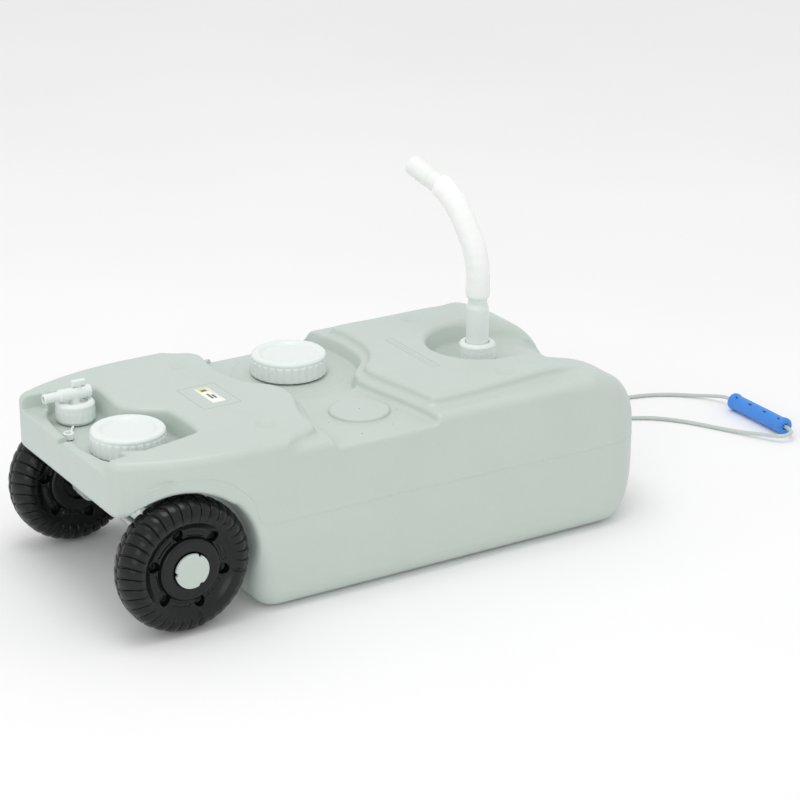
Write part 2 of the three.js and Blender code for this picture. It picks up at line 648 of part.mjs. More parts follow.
// ---------------------------------------------------------------- wheels and axle
// One wheel on its side of the tank: a moulded tyre and hub in one piece.
function wheel(side) {
  const { radius, tyreRadius, innerY, outerY, trough, lugs, hubRadius, hubFace, bore } = WHEEL;
  const profile = [
    [bore, innerY], [30, innerY], [34, innerY + trough], [58, innerY + trough], [64, innerY],
    [77, innerY + 2], [tyreRadius, innerY + 17], [tyreRadius, outerY - 17],
    [77, outerY - 2], [66, outerY], [60, outerY - trough], [hubRadius + 3, outerY - trough],
    [hubRadius, outerY - 2], [25, outerY - 2], [25, hubFace], [bore, hubFace],
  ].map(([r, y]) => [r, side * y]);
  const points = [];
  for (let i = 0; i < 2 * lugs; i++) {
    const reach = i % 2 ? tyreRadius - 0.6 : radius;
    const start = ((i - 0.35 + (i % 2) * 0.7) * Math.PI) / lugs;
    points.push([AXLE.x + reach * Math.cos(start), AXLE.z + reach * Math.sin(start)]);
  }
  const [y0, y1] = span(side, ...WHEEL.lugBandY);
  const tread = crosswise(outline(points), y0, y1)
    .subtract(discAcross(tyreRadius - 2, y0 - 1, y1 + 1, AXLE.x, AXLE.z));
  const dentEnds = span(side, outerY - WHEEL.trough - WHEEL.dentDepth, outerY + 1);
  const dents = [];
  for (let i = 0; i < WHEEL.dents; i++) {
    const angle = ((46 + (i * 360) / WHEEL.dents) * Math.PI) / 180;
    const x = AXLE.x + WHEEL.dentCircle * Math.cos(angle);
    const z = AXLE.z + WHEEL.dentCircle * Math.sin(angle);
    dents.push(discAcross(WHEEL.dentRadius, ...dentEnds, x, z, 10));
  }
  const hollow = [
    [65, innerY + 13], [74, innerY + 7], [85, innerY + 18], [85, outerY - 18],
    [74, outerY - 7], [65, outerY - 13],
  ].map(([r, y]) => [r, side * y]);
  const ventEnds = span(side, innerY - 1, innerY + 20);
  const vent = discAcross(WHEEL.vent, ...ventEnds, AXLE.x, AXLE.z + WHEEL.ventCircle, 8);
  const body = turnedAcross(profile, AXLE.x, AXLE.z).add(tread);
  return cut(body, turnedAcross(hollow, AXLE.x, AXLE.z), vent, ...dents);
}

// The grey plug in the middle of the wheel's outer face, with notches round its edge.
function hubCap(side) {
  const { radius, face, depth, notches, notch } = HUB_CAP;
  const ends = span(side, face - depth, face);
  const holes = [];
  for (let i = 0; i < notches; i++) {
    const angle = ((60 + (i * 360) / notches) * Math.PI) / 180;
    const x = AXLE.x + radius * Math.cos(angle);
    const z = AXLE.z + radius * Math.sin(angle);
    holes.push(discAcross(notch, ends[0] - 1, ends[1] + 1, x, z, 8));
  }
  return cut(discAcross(radius, ...ends, AXLE.x, AXLE.z, 32), ...holes);
}

const BUSH = { radius: 10, flange: 14, innerY: 134.5, depth: 17.5, flangeThickness: 1.5 };
const WASHER = { radius: 12, y0: 130.5, y1: 133.5 };
const NUT = { radius: 9.5, y0: 192.4, y1: 195.4 };
const AXLE_TIP = { radius: AXLE.radius - 2, fromY: 192, toY: 196 }; // thinner end under the nut

// A ring on the axle's line, between two distances from the middle of the tank.
const onAxle = (side, bore, radius, from, to) =>
  ringAcross(bore, radius, ...span(side, from, to), AXLE.x, AXLE.z);

// A flanged bush that lines one end of the wheel's bore.
function bush(side, flangeFrom, flangeTo, sleeveTo) {
  const bore = AXLE.radius + GAP;
  return onAxle(side, bore, BUSH.radius, flangeFrom, sleeveTo)
    .add(onAxle(side, bore, BUSH.flange, flangeFrom, flangeTo));
}

for (const [name, side] of [["right", -1], ["left", 1]]) {
  const { innerY, hubFace } = WHEEL;
  const flangeEnd = hubFace + GAP + BUSH.flangeThickness;
  place(`wheel_${name}`, wheel(side), "tyre");
  place(`hub_cap_${name}`, hubCap(side), "tank");
  place(
    `wheel_bush_inner_${name}`,
    bush(side, BUSH.innerY, innerY - GAP, BUSH.innerY + BUSH.depth),
    "tank",
  );
  place(
    `wheel_bush_outer_${name}`,
    bush(side, flangeEnd, hubFace + GAP, flangeEnd - BUSH.depth),
    "tank",
  );
  place(
    `axle_washer_${name}`,
    onAxle(side, AXLE.radius + GAP, WASHER.radius, WASHER.y0, WASHER.y1),
    "steel",
  );
  place(
    `axle_nut_${name}`,
    onAxle(side, AXLE_TIP.radius + GAP, NUT.radius, NUT.y0, NUT.y1),
    "steel",
  );
}

function axleRod() {
  const { radius, fromY, toY } = AXLE_TIP;
  const step = fromY - 0.4;
  return turnedAcross([
    [0, -toY], [radius, -toY], [radius, -fromY], [AXLE.radius, -step],
    [AXLE.radius, step], [radius, fromY], [radius, toY], [0, toY],
  ], AXLE.x, AXLE.z, 24);
}
place("axle_rod", axleRod(), "steel");

// ---------------------------------------------------------------- tow rope and grip
const ropeCurve = new THREE.CatmullRomCurve3(
  ROPE_ROUTE.map((point) => new THREE.Vector3(...point)),
);
place("tow_rope", pipe(ropeCurve, ROPE_RADIUS, 0, 8, 68), "rope");

function towGrip() {
  const { x, middleY, z, length, radius, flare, bore } = GRIP;
  const [y0, y1] = [middleY - length / 2, middleY + length / 2];
  return turnedAcross([
    [bore, y0], [flare - 1.5, y0], [flare, y0 + 1.5], [flare, y0 + 6], [radius, y0 + 12],
    [radius, y1 - 12], [flare, y1 - 6], [flare, y1 - 1.5], [flare - 1.5, y1], [bore, y1],
  ], x, z, 20);
}
place("tow_grip", towGrip(), "grip");

// ---------------------------------------------------------------- label on the nose-side plate
const LABEL = { x0: -260, x1: -240, y0: -25, y1: 31, lift: 0.2, thickness: 0.3 };
place(
  "label",
  upright(
    outline([[LABEL.x0, LABEL.y0], [LABEL.x1, LABEL.y0], [LABEL.x1, LABEL.y1], [LABEL.x0, LABEL.y1]]),
    TANK.top + LABEL.lift,
    TANK.top + LABEL.lift + LABEL.thickness,
  ),
  "label",
);

export default tote;
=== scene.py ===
"""Looks of the portable waste tote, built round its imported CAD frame.

Shapes are worked out in millimetres in the frame's own axes (X along the tank towards the tow rope, Y across
it, Z up from the floor) and turned into metres when a mesh is made. The tank and the tap are signed distance
fields turned into meshes; wheels, caps, necks, hose, rope and grip are grids of points bent round an axis or
along a curve.
"""

import math

import bmesh
import bpy
import numpy as np
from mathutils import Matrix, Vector


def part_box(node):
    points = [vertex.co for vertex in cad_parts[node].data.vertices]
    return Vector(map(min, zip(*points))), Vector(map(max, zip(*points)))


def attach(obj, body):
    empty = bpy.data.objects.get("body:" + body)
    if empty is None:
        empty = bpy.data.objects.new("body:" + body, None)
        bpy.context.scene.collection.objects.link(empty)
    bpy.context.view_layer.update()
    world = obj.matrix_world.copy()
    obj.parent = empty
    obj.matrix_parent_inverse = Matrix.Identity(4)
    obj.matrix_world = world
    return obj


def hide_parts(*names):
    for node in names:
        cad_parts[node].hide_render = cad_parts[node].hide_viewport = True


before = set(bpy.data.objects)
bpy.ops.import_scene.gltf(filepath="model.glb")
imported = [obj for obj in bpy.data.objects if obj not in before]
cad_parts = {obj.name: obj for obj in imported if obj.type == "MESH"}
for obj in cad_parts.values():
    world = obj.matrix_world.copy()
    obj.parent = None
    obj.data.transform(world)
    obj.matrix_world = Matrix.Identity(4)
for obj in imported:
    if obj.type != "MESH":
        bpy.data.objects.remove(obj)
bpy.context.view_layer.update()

MM = 0.001
FULL = 2 * math.pi  # one whole turn


def add_object(name, data):
    made = bpy.data.objects.new(name, data)
    bpy.context.scene.collection.objects.link(made)
    return made


def point_at(piece, place, direction):
    piece.location = place
    piece.rotation_mode = "QUATERNION"
    piece.rotation_quaternion = direction.to_track_quat("-Z", "Y")


# ---------------------------------------------------------------- camera
AIM = Vector((0.04877, 0.0, 0.17513))
AZIMUTH, ELEVATION = math.radians(-31.22), math.radians(21.38)
DISTANCE = 3.68465
LENS = 116.94


def make_camera():
    flat = math.cos(ELEVATION)
    towards = Vector((math.sin(AZIMUTH) * flat, -math.cos(AZIMUTH) * flat, math.sin(ELEVATION)))
    data = bpy.data.cameras.new("camera")
    data.lens = LENS
    data.clip_start, data.clip_end = 0.05, 60
    camera = add_object("camera", data)
    point_at(camera, AIM + towards * DISTANCE, -towards)
    bpy.context.scene.camera = camera


make_camera()


# ---------------------------------------------------------------- materials
def linear(red, green, blue):
    """A display colour of 0 to 255 as a linear colour."""
    channels = []
    for value in (red, green, blue):
        share = value / 255
        channels.append(share / 12.92 if share <= 0.04045 else ((share + 0.055) / 1.055) ** 2.4)
    return (*channels, 1.0)


def shade(colour, factor):
    return (*[min(1.0, c * factor) for c in colour[:3]], 1.0)


def new_material(name):
    material = bpy.data.materials.new(name)
    material.use_nodes = True
    tree = material.node_tree
    place = tree.nodes.new("ShaderNodeTexCoord").outputs["Object"]
    return material, tree, tree.nodes["Principled BSDF"], place


def feed(tree, node, inputs):
    """Sets a node's inputs, or links those whose value is another node's output."""
    for name, value in inputs.items():
        if isinstance(value, bpy.types.NodeSocket):
            tree.links.new(value, node.inputs[name])
        else:
            node.inputs[name].default_value = value


def add_node(tree, kind, inputs, **settings):
    node = tree.nodes.new(f"ShaderNode{kind}")
    for setting, value in settings.items():
        setattr(node, setting, value)
    feed(tree, node, inputs)
    return node


def noise(tree, place, scale, detail, rough=0.5):
    inputs = {"Scale": scale, "Detail": detail, "Roughness": rough, "Vector": place}
    return add_node(tree, "TexNoise", inputs).outputs["Fac"]


def spread(tree, value, low=0, high=1):
    """Maps a noise value onto the range from low to high."""
    inputs = {"From Min": 0.3, "From Max": 0.7, "To Min": low, "To Max": high, "Value": value}
    return add_node(tree, "MapRange", inputs).outputs["Result"]


def blend_colours(tree, share, first, second, blend="MIX"):
    inputs = {0: share, 6: first, 7: second}
    return add_node(tree, "Mix", inputs, data_type="RGBA", blend_type=blend).outputs[2]


def bump(tree, shader, height, distance):
    node = add_node(tree, "Bump", {"Strength": 1.0, "Distance": distance, "Height": height})
    tree.links.new(node.outputs["Normal"], shader.inputs["Normal"])


GRAIN_DEPTH = 0.00004


def moulded_plastic(name, colour, rough, mottle=0.035, grain=1500, waves=0.0, glow=0.0, shine=0.5):
    """Moulded plastic: a slightly cloudy colour, uneven gloss and a fine skin grain."""
    material, tree, shader, place = new_material(name)
    clouds = spread(tree, noise(tree, place, 11, 3))
    base = blend_colours(tree, clouds, shade(colour, 1 - mottle), shade(colour, 1 + mottle))
    flecks = spread(tree, noise(tree, place, 260, 2))
    tint = blend_colours(tree, flecks, (0.95, 0.95, 0.95, 1), (1, 1, 1, 1))
    skin = noise(tree, place, grain, 3, 0.6)
    if waves:
        inputs = {0: noise(tree, place, 22, 1), 1: waves / GRAIN_DEPTH, 2: skin}
        skin = add_node(tree, "Math", inputs, operation="MULTIPLY_ADD").outputs[0]
    bump(tree, shader, skin, GRAIN_DEPTH)
    feed(tree, shader, {
        "Base Color": blend_colours(tree, 0.35, base, tint, "MULTIPLY"),
        "Roughness": spread(tree, noise(tree, place, 45, 4, 0.6), rough * 0.86, rough * 1.16),
        "IOR": 1.49,
        "Specular IOR Level": shine,
        "Subsurface Weight": glow,
    })
    if glow:
        feed(tree, shader, {"Subsurface Radius": (1.0, 0.95, 0.9), "Subsurface Scale": 0.004})
    return material


def brushed_steel(name):
    material, tree, shader, place = new_material(name)
    stretch = add_node(tree, "Mapping", {"Scale": (1, 0.04, 1), "Vector": place})
    streaks = noise(tree, stretch.outputs["Vector"], 900, 4, 0.6)
    dark, light = (0.45, 0.46, 0.47, 1), (0.68, 0.69, 0.7, 1)
    feed(tree, shader, {
        "Base Color": blend_colours(tree, spread(tree, streaks), dark, light),
        "Roughness": spread(tree, streaks, 0.28, 0.45),
        "Metallic": 1.0,
    })
    bump(tree, shader, streaks, 0.00003)
    return material


def braided_cord(name, colour):
    material, tree, shader, place = new_material(name)
    fibres = noise(tree, place, 2600, 4, 0.7)
    tone = blend_colours(tree, spread(tree, fibres), shade(colour, 0.86), shade(colour, 1.08))
    wear = spread(tree, noise(tree, place, 30, 3), 0, 0.35)
    feed(tree, shader, {
        "Base Color": blend_colours(tree, wear, tone, shade(colour, 0.78)),
        "Roughness": spread(tree, fibres, 0.5, 0.72),
        "Sheen Weight": 0.15,
    })
    bump(tree, shader, fibres, 0.00012)
    return material


TANK_GREY = linear(194, 205, 198)
tank_plastic = moulded_plastic("tank_plastic", TANK_GREY, 0.36, mottle=0.012, waves=0.00018)
# the tank's grey darkened to 0.6 for the fine lines and pin marks drawn on it: painted shade, standing in for
# the shade inside engraved grooves and small hollows
painted_shade_plastic = moulded_plastic("tank_painted_shade_plastic", shade(TANK_GREY, 0.6), 0.5)
cap_plastic = moulded_plastic("cap_plastic", linear(229, 236, 233), 0.34, mottle=0.012, glow=0.25)
hose_plastic = moulded_plastic("hose_plastic", linear(246, 248, 246), 0.42, mottle=0.01, glow=0.25)
tip_plastic = moulded_plastic("tip_plastic", linear(236, 239, 235), 0.42, mottle=0.02, glow=0.2)
tyre_plastic = moulded_plastic("tyre_plastic", linear(13, 16, 15), 0.25, mottle=0.12, grain=900, shine=0.36)
grip_plastic = moulded_plastic("grip_plastic", linear(60, 138, 228), 0.35, mottle=0.03)
# a darker blue for the faces sunk into the grip's slots: painted shade inside the slots
grip_slot_shade_plastic = moulded_plastic("grip_slot_shade_plastic", linear(25, 62, 118), 0.5)
seal_rubber = moulded_plastic("seal_rubber", linear(44, 45, 45), 0.7, mottle=0.1)
zinc_steel = brushed_steel("zinc_steel")
rope_cord = braided_cord("rope_cord", linear(200, 209, 203))
label_vinyl = moulded_plastic("label_vinyl", linear(246, 246, 240), 0.22, mottle=0.01)
label_yellow = moulded_plastic("label_yellow", linear(240, 226, 140), 0.25, mottle=0.02)
label_ink = moulded_plastic("label_ink", linear(90, 92, 88), 0.35, mottle=0.05)


# ---------------------------------------------------------------- meshes from points
def build(name, shape, material, body, stands_for=(), normals=None, closed=True):
    """A mesh object from a pair: points in millimetres, and an (n, 3) or (n, 4) table of corners."""
    points, faces = shape
    mesh = bpy.data.meshes.new(name)
    corners = np.ascontiguousarray(faces, np.int32)
    mesh.vertices.add(len(points))
    mesh.vertices.foreach_set("co", np.asarray(points, np.float32).ravel() * MM)
    mesh.loops.add(corners.size)
    mesh.loops.foreach_set("vertex_index", corners.ravel())
    mesh.polygons.add(len(corners))
    mesh.polygons.foreach_set("loop_start", np.arange(0, corners.size, corners.shape[1], dtype=np.int32))
    mesh.update(calc_edges=True)
    mesh.validate()
    if closed:
        work = bmesh.new()
        work.from_mesh(mesh)
        bmesh.ops.remove_doubles(work, verts=work.verts, dist=1e-6)
        bmesh.ops.recalc_face_normals(work, faces=work.faces)
        work.to_mesh(mesh)
        work.free()
    mesh.polygons.foreach_set("use_smooth", np.ones(len(mesh.polygons), bool))
    if normals is not None:
        mesh.normals_split_custom_set_from_vertices(normals.astype(float).tolist())
    mesh.materials.append(material)
    piece = add_object(name, mesh)
    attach(piece, body)
    if stands_for:
        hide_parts(*stands_for)
    return piece


def join_parts(*parts):
    """Several (points, faces) pairs as one."""
    points, faces, start = [], [], 0
    for part_points, part_faces in parts:
        points.append(np.asarray(part_points, float).reshape(-1, 3))
        faces.append(np.asarray(part_faces, int) + start)
        start += len(points[-1])
    return np.concatenate(points), np.concatenate(faces)


def grid_faces(rows, columns):
    """Quads between the points of a grid that is stored row by row, each row closed to a ring."""
    i = np.arange(rows - 1)[:, None]
    j = np.arange(columns)[None, :]
    below, right = i + 1, (j + 1) % columns
    quads = np.stack(np.broadcast_arrays(
        i * columns + j, i * columns + right, below * columns + right, below * columns + j), -1)
    return quads.reshape(-1, 4)


def soften(profile, radius, steps=3, closed=False):
    """A line of [a, b] points with each corner rounded to about that radius."""
    points = [np.array(p, float) for p in profile]
    count = len(points)
    made = []
    for k, corner in enumerate(points):
        if not closed and k in (0, count - 1):
            made.append(corner)
            continue
        before, after = points[k - 1], points[(k + 1) % count]
        back, ahead = before - corner, after - corner
        reach = min(radius, 0.45 * np.linalg.norm(back), 0.45 * np.linalg.norm(ahead))
        start = corner + back / np.linalg.norm(back) * reach
        end = corner + ahead / np.linalg.norm(ahead) * reach
        for t in np.linspace(0, 1, steps + 1):
            made.append((1 - t) ** 2 * start + 2 * t * (1 - t) * corner + t * t * end)
    return np.array(made)


def ring_line(profile, radius, steps=2):
    """A closed outline with rounded corners, which ends on its first point."""
    line = soften(profile, radius, steps, closed=True)
    return np.vstack([line, line[:1]])


def refine(profile, step):
    """The same line with no stretch longer than step."""
    made = [profile[0]]
    for before, after in zip(profile[:-1], profile[1:]):
        count = max(1, int(np.ceil(np.linalg.norm(after - before) / step)))
        made.extend(before + (after - before) * (k + 1) / count for k in range(count))
    return np.array(made)


def lengths_along(line):
    return np.concatenate([[0], np.cumsum(np.linalg.norm(np.diff(line, axis=0), axis=1))])


def unit(vectors):
    return vectors / np.linalg.norm(vectors, axis=-1, keepdims=True)


def turn(profile, centre, turns=96, axis="z", change=None):
    """A [radius, height] line turned about an axis through centre. change(angle, radius, height) bends it."""
    line = np.asarray(profile, float)
    angle = np.linspace(0, FULL, turns, endpoint=False)[None, :]
    radius = np.repeat(line[:, :1], turns, 1)
    height = np.repeat(line[:, 1:2], turns, 1)
    if change:
        radius, height = change(angle + 0 * radius, radius, height)
    a, b = radius * np.cos(angle), radius * np.sin(angle)
    places = (a, b, height) if axis == "z" else (a, height, b)
    points = np.stack(places, -1).reshape(-1, 3) + np.array(centre)
    return points, grid_faces(len(line), turns)


def catmull_rom(points, step):
    """A smooth line through the points, with about step between its own points (centripetal)."""
    knots = np.array(points, float)
    knots = np.vstack([2 * knots[0] - knots[1], knots, 2 * knots[-1] - knots[-2]])
    made = [knots[1]]
    for p0, p1, p2, p3 in zip(knots[:-3], knots[1:-2], knots[2:-1], knots[3:]):
        t1 = np.linalg.norm(p1 - p0) ** 0.5
        t2 = t1 + np.linalg.norm(p2 - p1) ** 0.5
        t3 = t2 + np.linalg.norm(p3 - p2) ** 0.5
        for t in np.linspace(t1, t2, max(2, int(np.linalg.norm(p2 - p1) / step) + 1))[1:]:
            a1 = (t1 - t) / t1 * p0 + t / t1 * p1
            a2 = (t2 - t) / (t2 - t1) * p1 + (t - t1) / (t2 - t1) * p2
            a3 = (t3 - t) / (t3 - t2) * p2 + (t - t2) / (t3 - t2) * p3
            b1 = (t2 - t) / t2 * a1 + t / t2 * a2
            b2 = (t3 - t) / (t3 - t1) * a2 + (t - t1) / (t3 - t1) * a3
            made.append((t2 - t) / (t2 - t1) * b1 + (t - t1) / (t2 - t1) * b2)
    return np.array(made)


def sweep(line, radius, sides=16, change=None, first_side=(0, 0, 1), ends=True):
    """A round tube along a line of points. change(angle, along, radius) gives the radius at each point."""
    path = np.asarray(line, float)
    tangent = unit(np.gradient(path, axis=0))
    side = np.cross(np.cross(tangent[0], first_side), tangent[0])
    sides_made = []
    for direction in tangent:
        side = unit(side - direction * side.dot(direction))
        sides_made.append(side)
    side = np.array(sides_made)[:, None, :]
    up = np.cross(tangent[:, None, :], side)
    angle = np.linspace(0, FULL, sides, endpoint=False)[None, :]
    reach = np.broadcast_to(np.asarray(radius, float).reshape(-1, 1), (len(path), sides))
    if change:
        reach = change(angle + 0 * reach, lengths_along(path)[:, None] + 0 * reach, reach)
    around = np.cos(angle)[..., None] * side + np.sin(angle)[..., None] * up
    points = (path[:, None, :] + reach[..., None] * around).reshape(-1, 3)
    faces = grid_faces(len(path), sides)
    if ends:
        ring = np.arange(sides)
        after = np.roll(ring, -1)
        first, last = np.full(sides, len(points)), np.full(sides, len(points) + 1)
        start = np.stack([ring, after, first, first], -1)
        stop = np.stack([after, ring, last, last], -1)
        stop[:, :2] += (len(path) - 1) * sides
        points = np.vstack([points, path[0], path[-1]])
        faces = np.concatenate([faces, start, stop])
    return points, faces


def smooth_step(value, low, high):
    share = np.clip((value - low) / (high - low), 0, 1)
    return share * share * (3 - 2 * share)


def fade(value, low, high):
    """1 up to low, falling to 0 at high."""
    return 1 - smooth_step(value, low, high)


def wrapped(angle):
    """The angle counted from -180 to 180 degrees."""
    return (angle + math.pi) % FULL - math.pi


def middle(node):
    """The middle of a CAD node's box, in millimetres."""
    low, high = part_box(node)
    return np.array((low + high) / 2) / MM


def extent(node):
    low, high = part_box(node)
    return np.array(low) / MM, np.array(high) / MM


# ---------------------------------------------------------------- tow rope and grip
ROPE_DIAMETER = 0.006
ROPE_ROUTE = [
    (0.372, 0.016, 0.046), (0.372, 0.032, 0.0445), (0.373, 0.052, 0.033), (0.380, 0.076, 0.014),
    (0.397, 0.103, 0.0045), (0.427, 0.137, 0.0033), (0.467, 0.166, 0.0033), (0.515, 0.187, 0.0033),
    (0.565, 0.197, 0.0033), (0.617, 0.191, 0.0033), (0.660, 0.171, 0.0033), (0.690, 0.144, 0.0045),
    (0.707, 0.119, 0.0085), (0.713, 0.096, 0.013), (0.713, 0.074, 0.014), (0.713, 0.030, 0.014),
    (0.713, -0.030, 0.014), (0.713, -0.058, 0.014), (0.708, -0.074, 0.013), (0.693, -0.078, 0.0115),
    (0.681, -0.066, 0.010), (0.672, -0.049, 0.008), (0.658, -0.022, 0.005), (0.644, 0.005, 0.0036),
    (0.630, 0.031, 0.0033), (0.613, 0.060, 0.0033), (0.593, 0.086, 0.0033), (0.570, 0.107, 0.0033),
    (0.540, 0.123, 0.0033), (0.505, 0.124, 0.0033), (0.470, 0.105, 0.0033), (0.436, 0.066, 0.0033),
    (0.408, 0.016, 0.0045), (0.390, -0.024, 0.012), (0.379, -0.044, 0.030), (0.373, -0.037, 0.043),
    (0.372, -0.016, 0.046),
]


def make_rope():
    line = catmull_rom(ROPE_ROUTE, 0.0012) / MM
    strands, lay = 6, 0.42  # how many, and their twist in radians per millimetre

    def braid(angle, along, reach):
        around, twist = strands / 2 * angle, lay * along * strands / 4
        top = np.maximum(np.abs(np.cos(around + twist)), np.abs(np.cos(around - twist)))
        return reach * (0.95 + 0.05 * top)

    shape = sweep(line, ROPE_DIAMETER / 2 / MM, sides=18, change=braid)
    rope = build("rope", shape, rope_cord, "tank", ["tow_rope"])


make_rope()


def make_grip():
    low, high = extent("tow_grip")
    x, y, z = middle("tow_grip")
    flare, bore = (high[2] - low[2]) / 2, 4.6
    radius = flare - 1.6
    half = (high[1] - low[1]) / 2
    line = refine(ring_line([
        [bore, -half], [flare - 0.8, -half], [flare, -half + 5], [radius, -half + 13], [radius, half - 13],
        [flare, half - 5], [flare - 0.8, half], [bore, half],
    ], 2.6, 4), 1.2)
    slots = [(t * FULL, h) for t in (0.32, 0.655, 0.99) for h in (-53, -18, 17, 52)]

    def with_slots(angle, reach, height):
        for at, along in slots:
            gap = np.abs(wrapped(angle - at)) * radius
            inside = fade(np.maximum(gap / 1.6, np.abs(height - along) / 3.2), 0.8, 1.1)
            reach = reach - 2.2 * inside * (reach > radius - 1)
        return reach, height

    shape = turn(line, (x, y, z), 160, "y", with_slots)
    grip = build("grip", shape, grip_plastic, "grip", ["tow_grip"])
    # faces sunk into the slots, away from the bore and the ends, get the darker blue: painted shade inside
    # the slots
    grip.data.materials.append(grip_slot_shade_plastic)
    deep = []
    for face in grip.data.polygons:
        centre = np.array(face.center) / MM
        out = math.hypot(centre[0] - x, centre[2] - z)
        deep.append(int(bore + 1 < out < radius - 0.9 and abs(centre[1] - y) < half - 2))
    grip.data.polygons.foreach_set("material_index", deep)


make_grip()


# ---------------------------------------------------------------- wheels
AXLE_X, _, AXLE_Z = middle("axle_rod")
AXLE = (AXLE_X, 0, AXLE_Z)
WHEEL_BORE = 10.4
PITCH = FULL / 36  # of the tread's grooves
DENT_ANGLES = [math.radians(46 + 60 * k) for k in range(6)]  # counted from +X towards +Z
DENT_PLACE = 51.5  # out from the axle
PLAIN_SECTOR = (math.radians(280), math.radians(346))  # the sidewall has no grooves here


def wheel_line(half, radius):
    """Half a wheel's section, from its bore up the sidewall to the middle of the tread."""
    face = soften([
        [WHEEL_BORE, half - 9], [25, half - 9], [25, half - 2.4], [26, half - 1.6], [39, half - 1.6],
        [42.5, half - 3.2], [44.5, half - 10], [55, half - 10], [60, half - 6.8], [65, half - 2.6],
    ], 1.8, 3)
    crown = [
        (65, half - 2.6, 0), (69, half - 0.7, 0), (73, half, 0), (77, half - 0.9, 0), (81.5, half - 3.4, 0),
        (85.8, half - 7, 0), (89.5, half - 12.5, 0), (92, half - 18.5, 0), (radius, half - 24, 0),
        (radius, 0, 0),
    ]
    shoulder = catmull_rom(crown, 1.6)[:, :2]
    shoulder[:, 0] = np.minimum(shoulder[:, 0], radius)
    return np.vstack([refine(face, 1.3), shoulder[1:]])


def make_wheel(name, side):
    low, high = extent(f"wheel_{name}")
    inner, outer = sorted((abs(low[1]), abs(high[1])))
    half = (outer - inner) / 2
    front = wheel_line(half, (high[2] - low[2]) / 2)
    line = np.vstack([front, front[::-1][1:] * [1, -1]])
    r0, h0 = line[:, :1], line[:, 1:]
    is_front = (np.arange(len(line)) < len(front))[:, None]
    steps = lengths_along(line)
    from_crown = np.abs(steps - steps[len(front) - 1])[:, None]
    slope = np.gradient(line, axis=0)
    outward = unit(np.stack([slope[:, 1], -slope[:, 0]], 1))
    outward *= np.sign(outward[len(front) - 1, 0])

    def grooves(angle):
        """How far the tread lies below its crown."""
        # crescents from the crown to the sidewall, offset by half a pitch across the middle
        lean = 0.055 * np.sin(np.clip(from_crown / 44, 0, 1) * math.pi * 0.9)
        phase = angle + lean + np.where(is_front, 0, PITCH / 2)
        offset = np.abs((phase / PITCH + 0.5) % 1 - 0.5) * PITCH * r0
        width = 0.95 + 0.9 * fade(from_crown, 2, 26)
        depth = 2.5 * fade(from_crown, 38, 50) * smooth_step(from_crown, 0.6, 2.2)
        sector = wrapped(angle - PLAIN_SECTOR[0]) % FULL
        plain = (sector < PLAIN_SECTOR[1] - PLAIN_SECTOR[0]) & is_front
        depth = np.where(plain, depth * fade(from_crown, 18, 21), depth)
        # the joint line of the two halves, and the swell of each rib between its grooves
        joint = 0.9 * fade(from_crown, 0.3, 1.5)
        swell = 0.35 * smooth_step(from_crown, 3, 12) * fade(from_crown, 30, 44)
        swell = np.cos(phase / PITCH * FULL) * swell
        low_patch = np.where(plain, 0.2 * smooth_step(from_crown, 16, 20) * (r0 > 66), 0)
        sink = fade(offset, width * 0.45, width * 1.35) * depth + joint + low_patch + 0.35 + swell
        return np.where(r0 > 66.5, sink, 0)

    def dents(angle):
        """How far the sidewall's trough rises: holes with a collar, and arcs between them."""
        trough = (r0 > 43.5) & (r0 < 62.5)
        inside = (r0 > 43) & (np.abs(h0) < half - 1.2)
        total = 0
        for k, at in enumerate(DENT_ANGLES):
            away = np.hypot(r0 - DENT_PLACE, wrapped(angle - at) * r0)
            collar = fade(np.abs(away - 8.3), 0.4, 1.6)
            between = wrapped(angle - at - math.radians(30))
            arc_band = fade(np.abs(between), math.radians(13), math.radians(17))
            arc_band = arc_band * fade(np.abs(r0 - (51 if k % 2 else 48.5)), 2.0, 3.4)
            rise = 1.8 * arc_band + 0.7 * collar * trough - 8.5 * fade(away, 6.4, 7.6)
            total = total + np.where(is_front, 1, -1) * rise * inside * fade(r0, 58, 62)
        return total

    def tread(angle, reach, height):
        sink = grooves(angle)
        for edge in PLAIN_SECTOR:  # radial steps that bound the plain sector
            step = fade(np.abs(wrapped(angle - edge)) * r0, 0.7, 1.7) * is_front
            sink = sink + 1.8 * step * smooth_step(r0, 60, 64) * (from_crown > 16)
        reach = reach - sink * outward[:, :1]
        height = height - sink * outward[:, 1:] + dents(angle)
        return reach, side * height

    centre, turns = (AXLE_X, side * (inner + half), AXLE_Z), 900
    sleeve = [[WHEEL_BORE, 9 - half], [WHEEL_BORE, half - 9]]
    shape = join_parts(turn(line, centre, turns, "y", tread), turn(sleeve, centre, turns, "y"))
    build(f"wheel_{name}_moulding", shape, tyre_plastic, f"wheel_{name}", [f"wheel_{name}"])


def make_hub_cap(name, side):
    low, high = extent(f"hub_cap_{name}")
    radius = (high[2] - low[2]) / 2 + 0.2
    inner, outer = sorted((abs(low[1]), abs(high[1])))
    profile = refine(soften([
        [0, inner], [radius, inner], [radius, outer - 0.5], [radius - 0.6, outer], [0, outer],
    ], 0.5, 2), 2.0)

    def notched(angle, reach, height):
        for at in np.radians((60, 180, 300)):
            gap = np.abs(wrapped(angle - at)) * radius
            reach = np.minimum(reach, radius - 2.6 * fade(gap, 2.3, 3.0))
        return reach, side * height

    shape = turn(profile, AXLE, 240, "y", notched)
    build(f"hub_cap_{name}_disc", shape, tank_plastic, f"wheel_{name}", [f"hub_cap_{name}"])


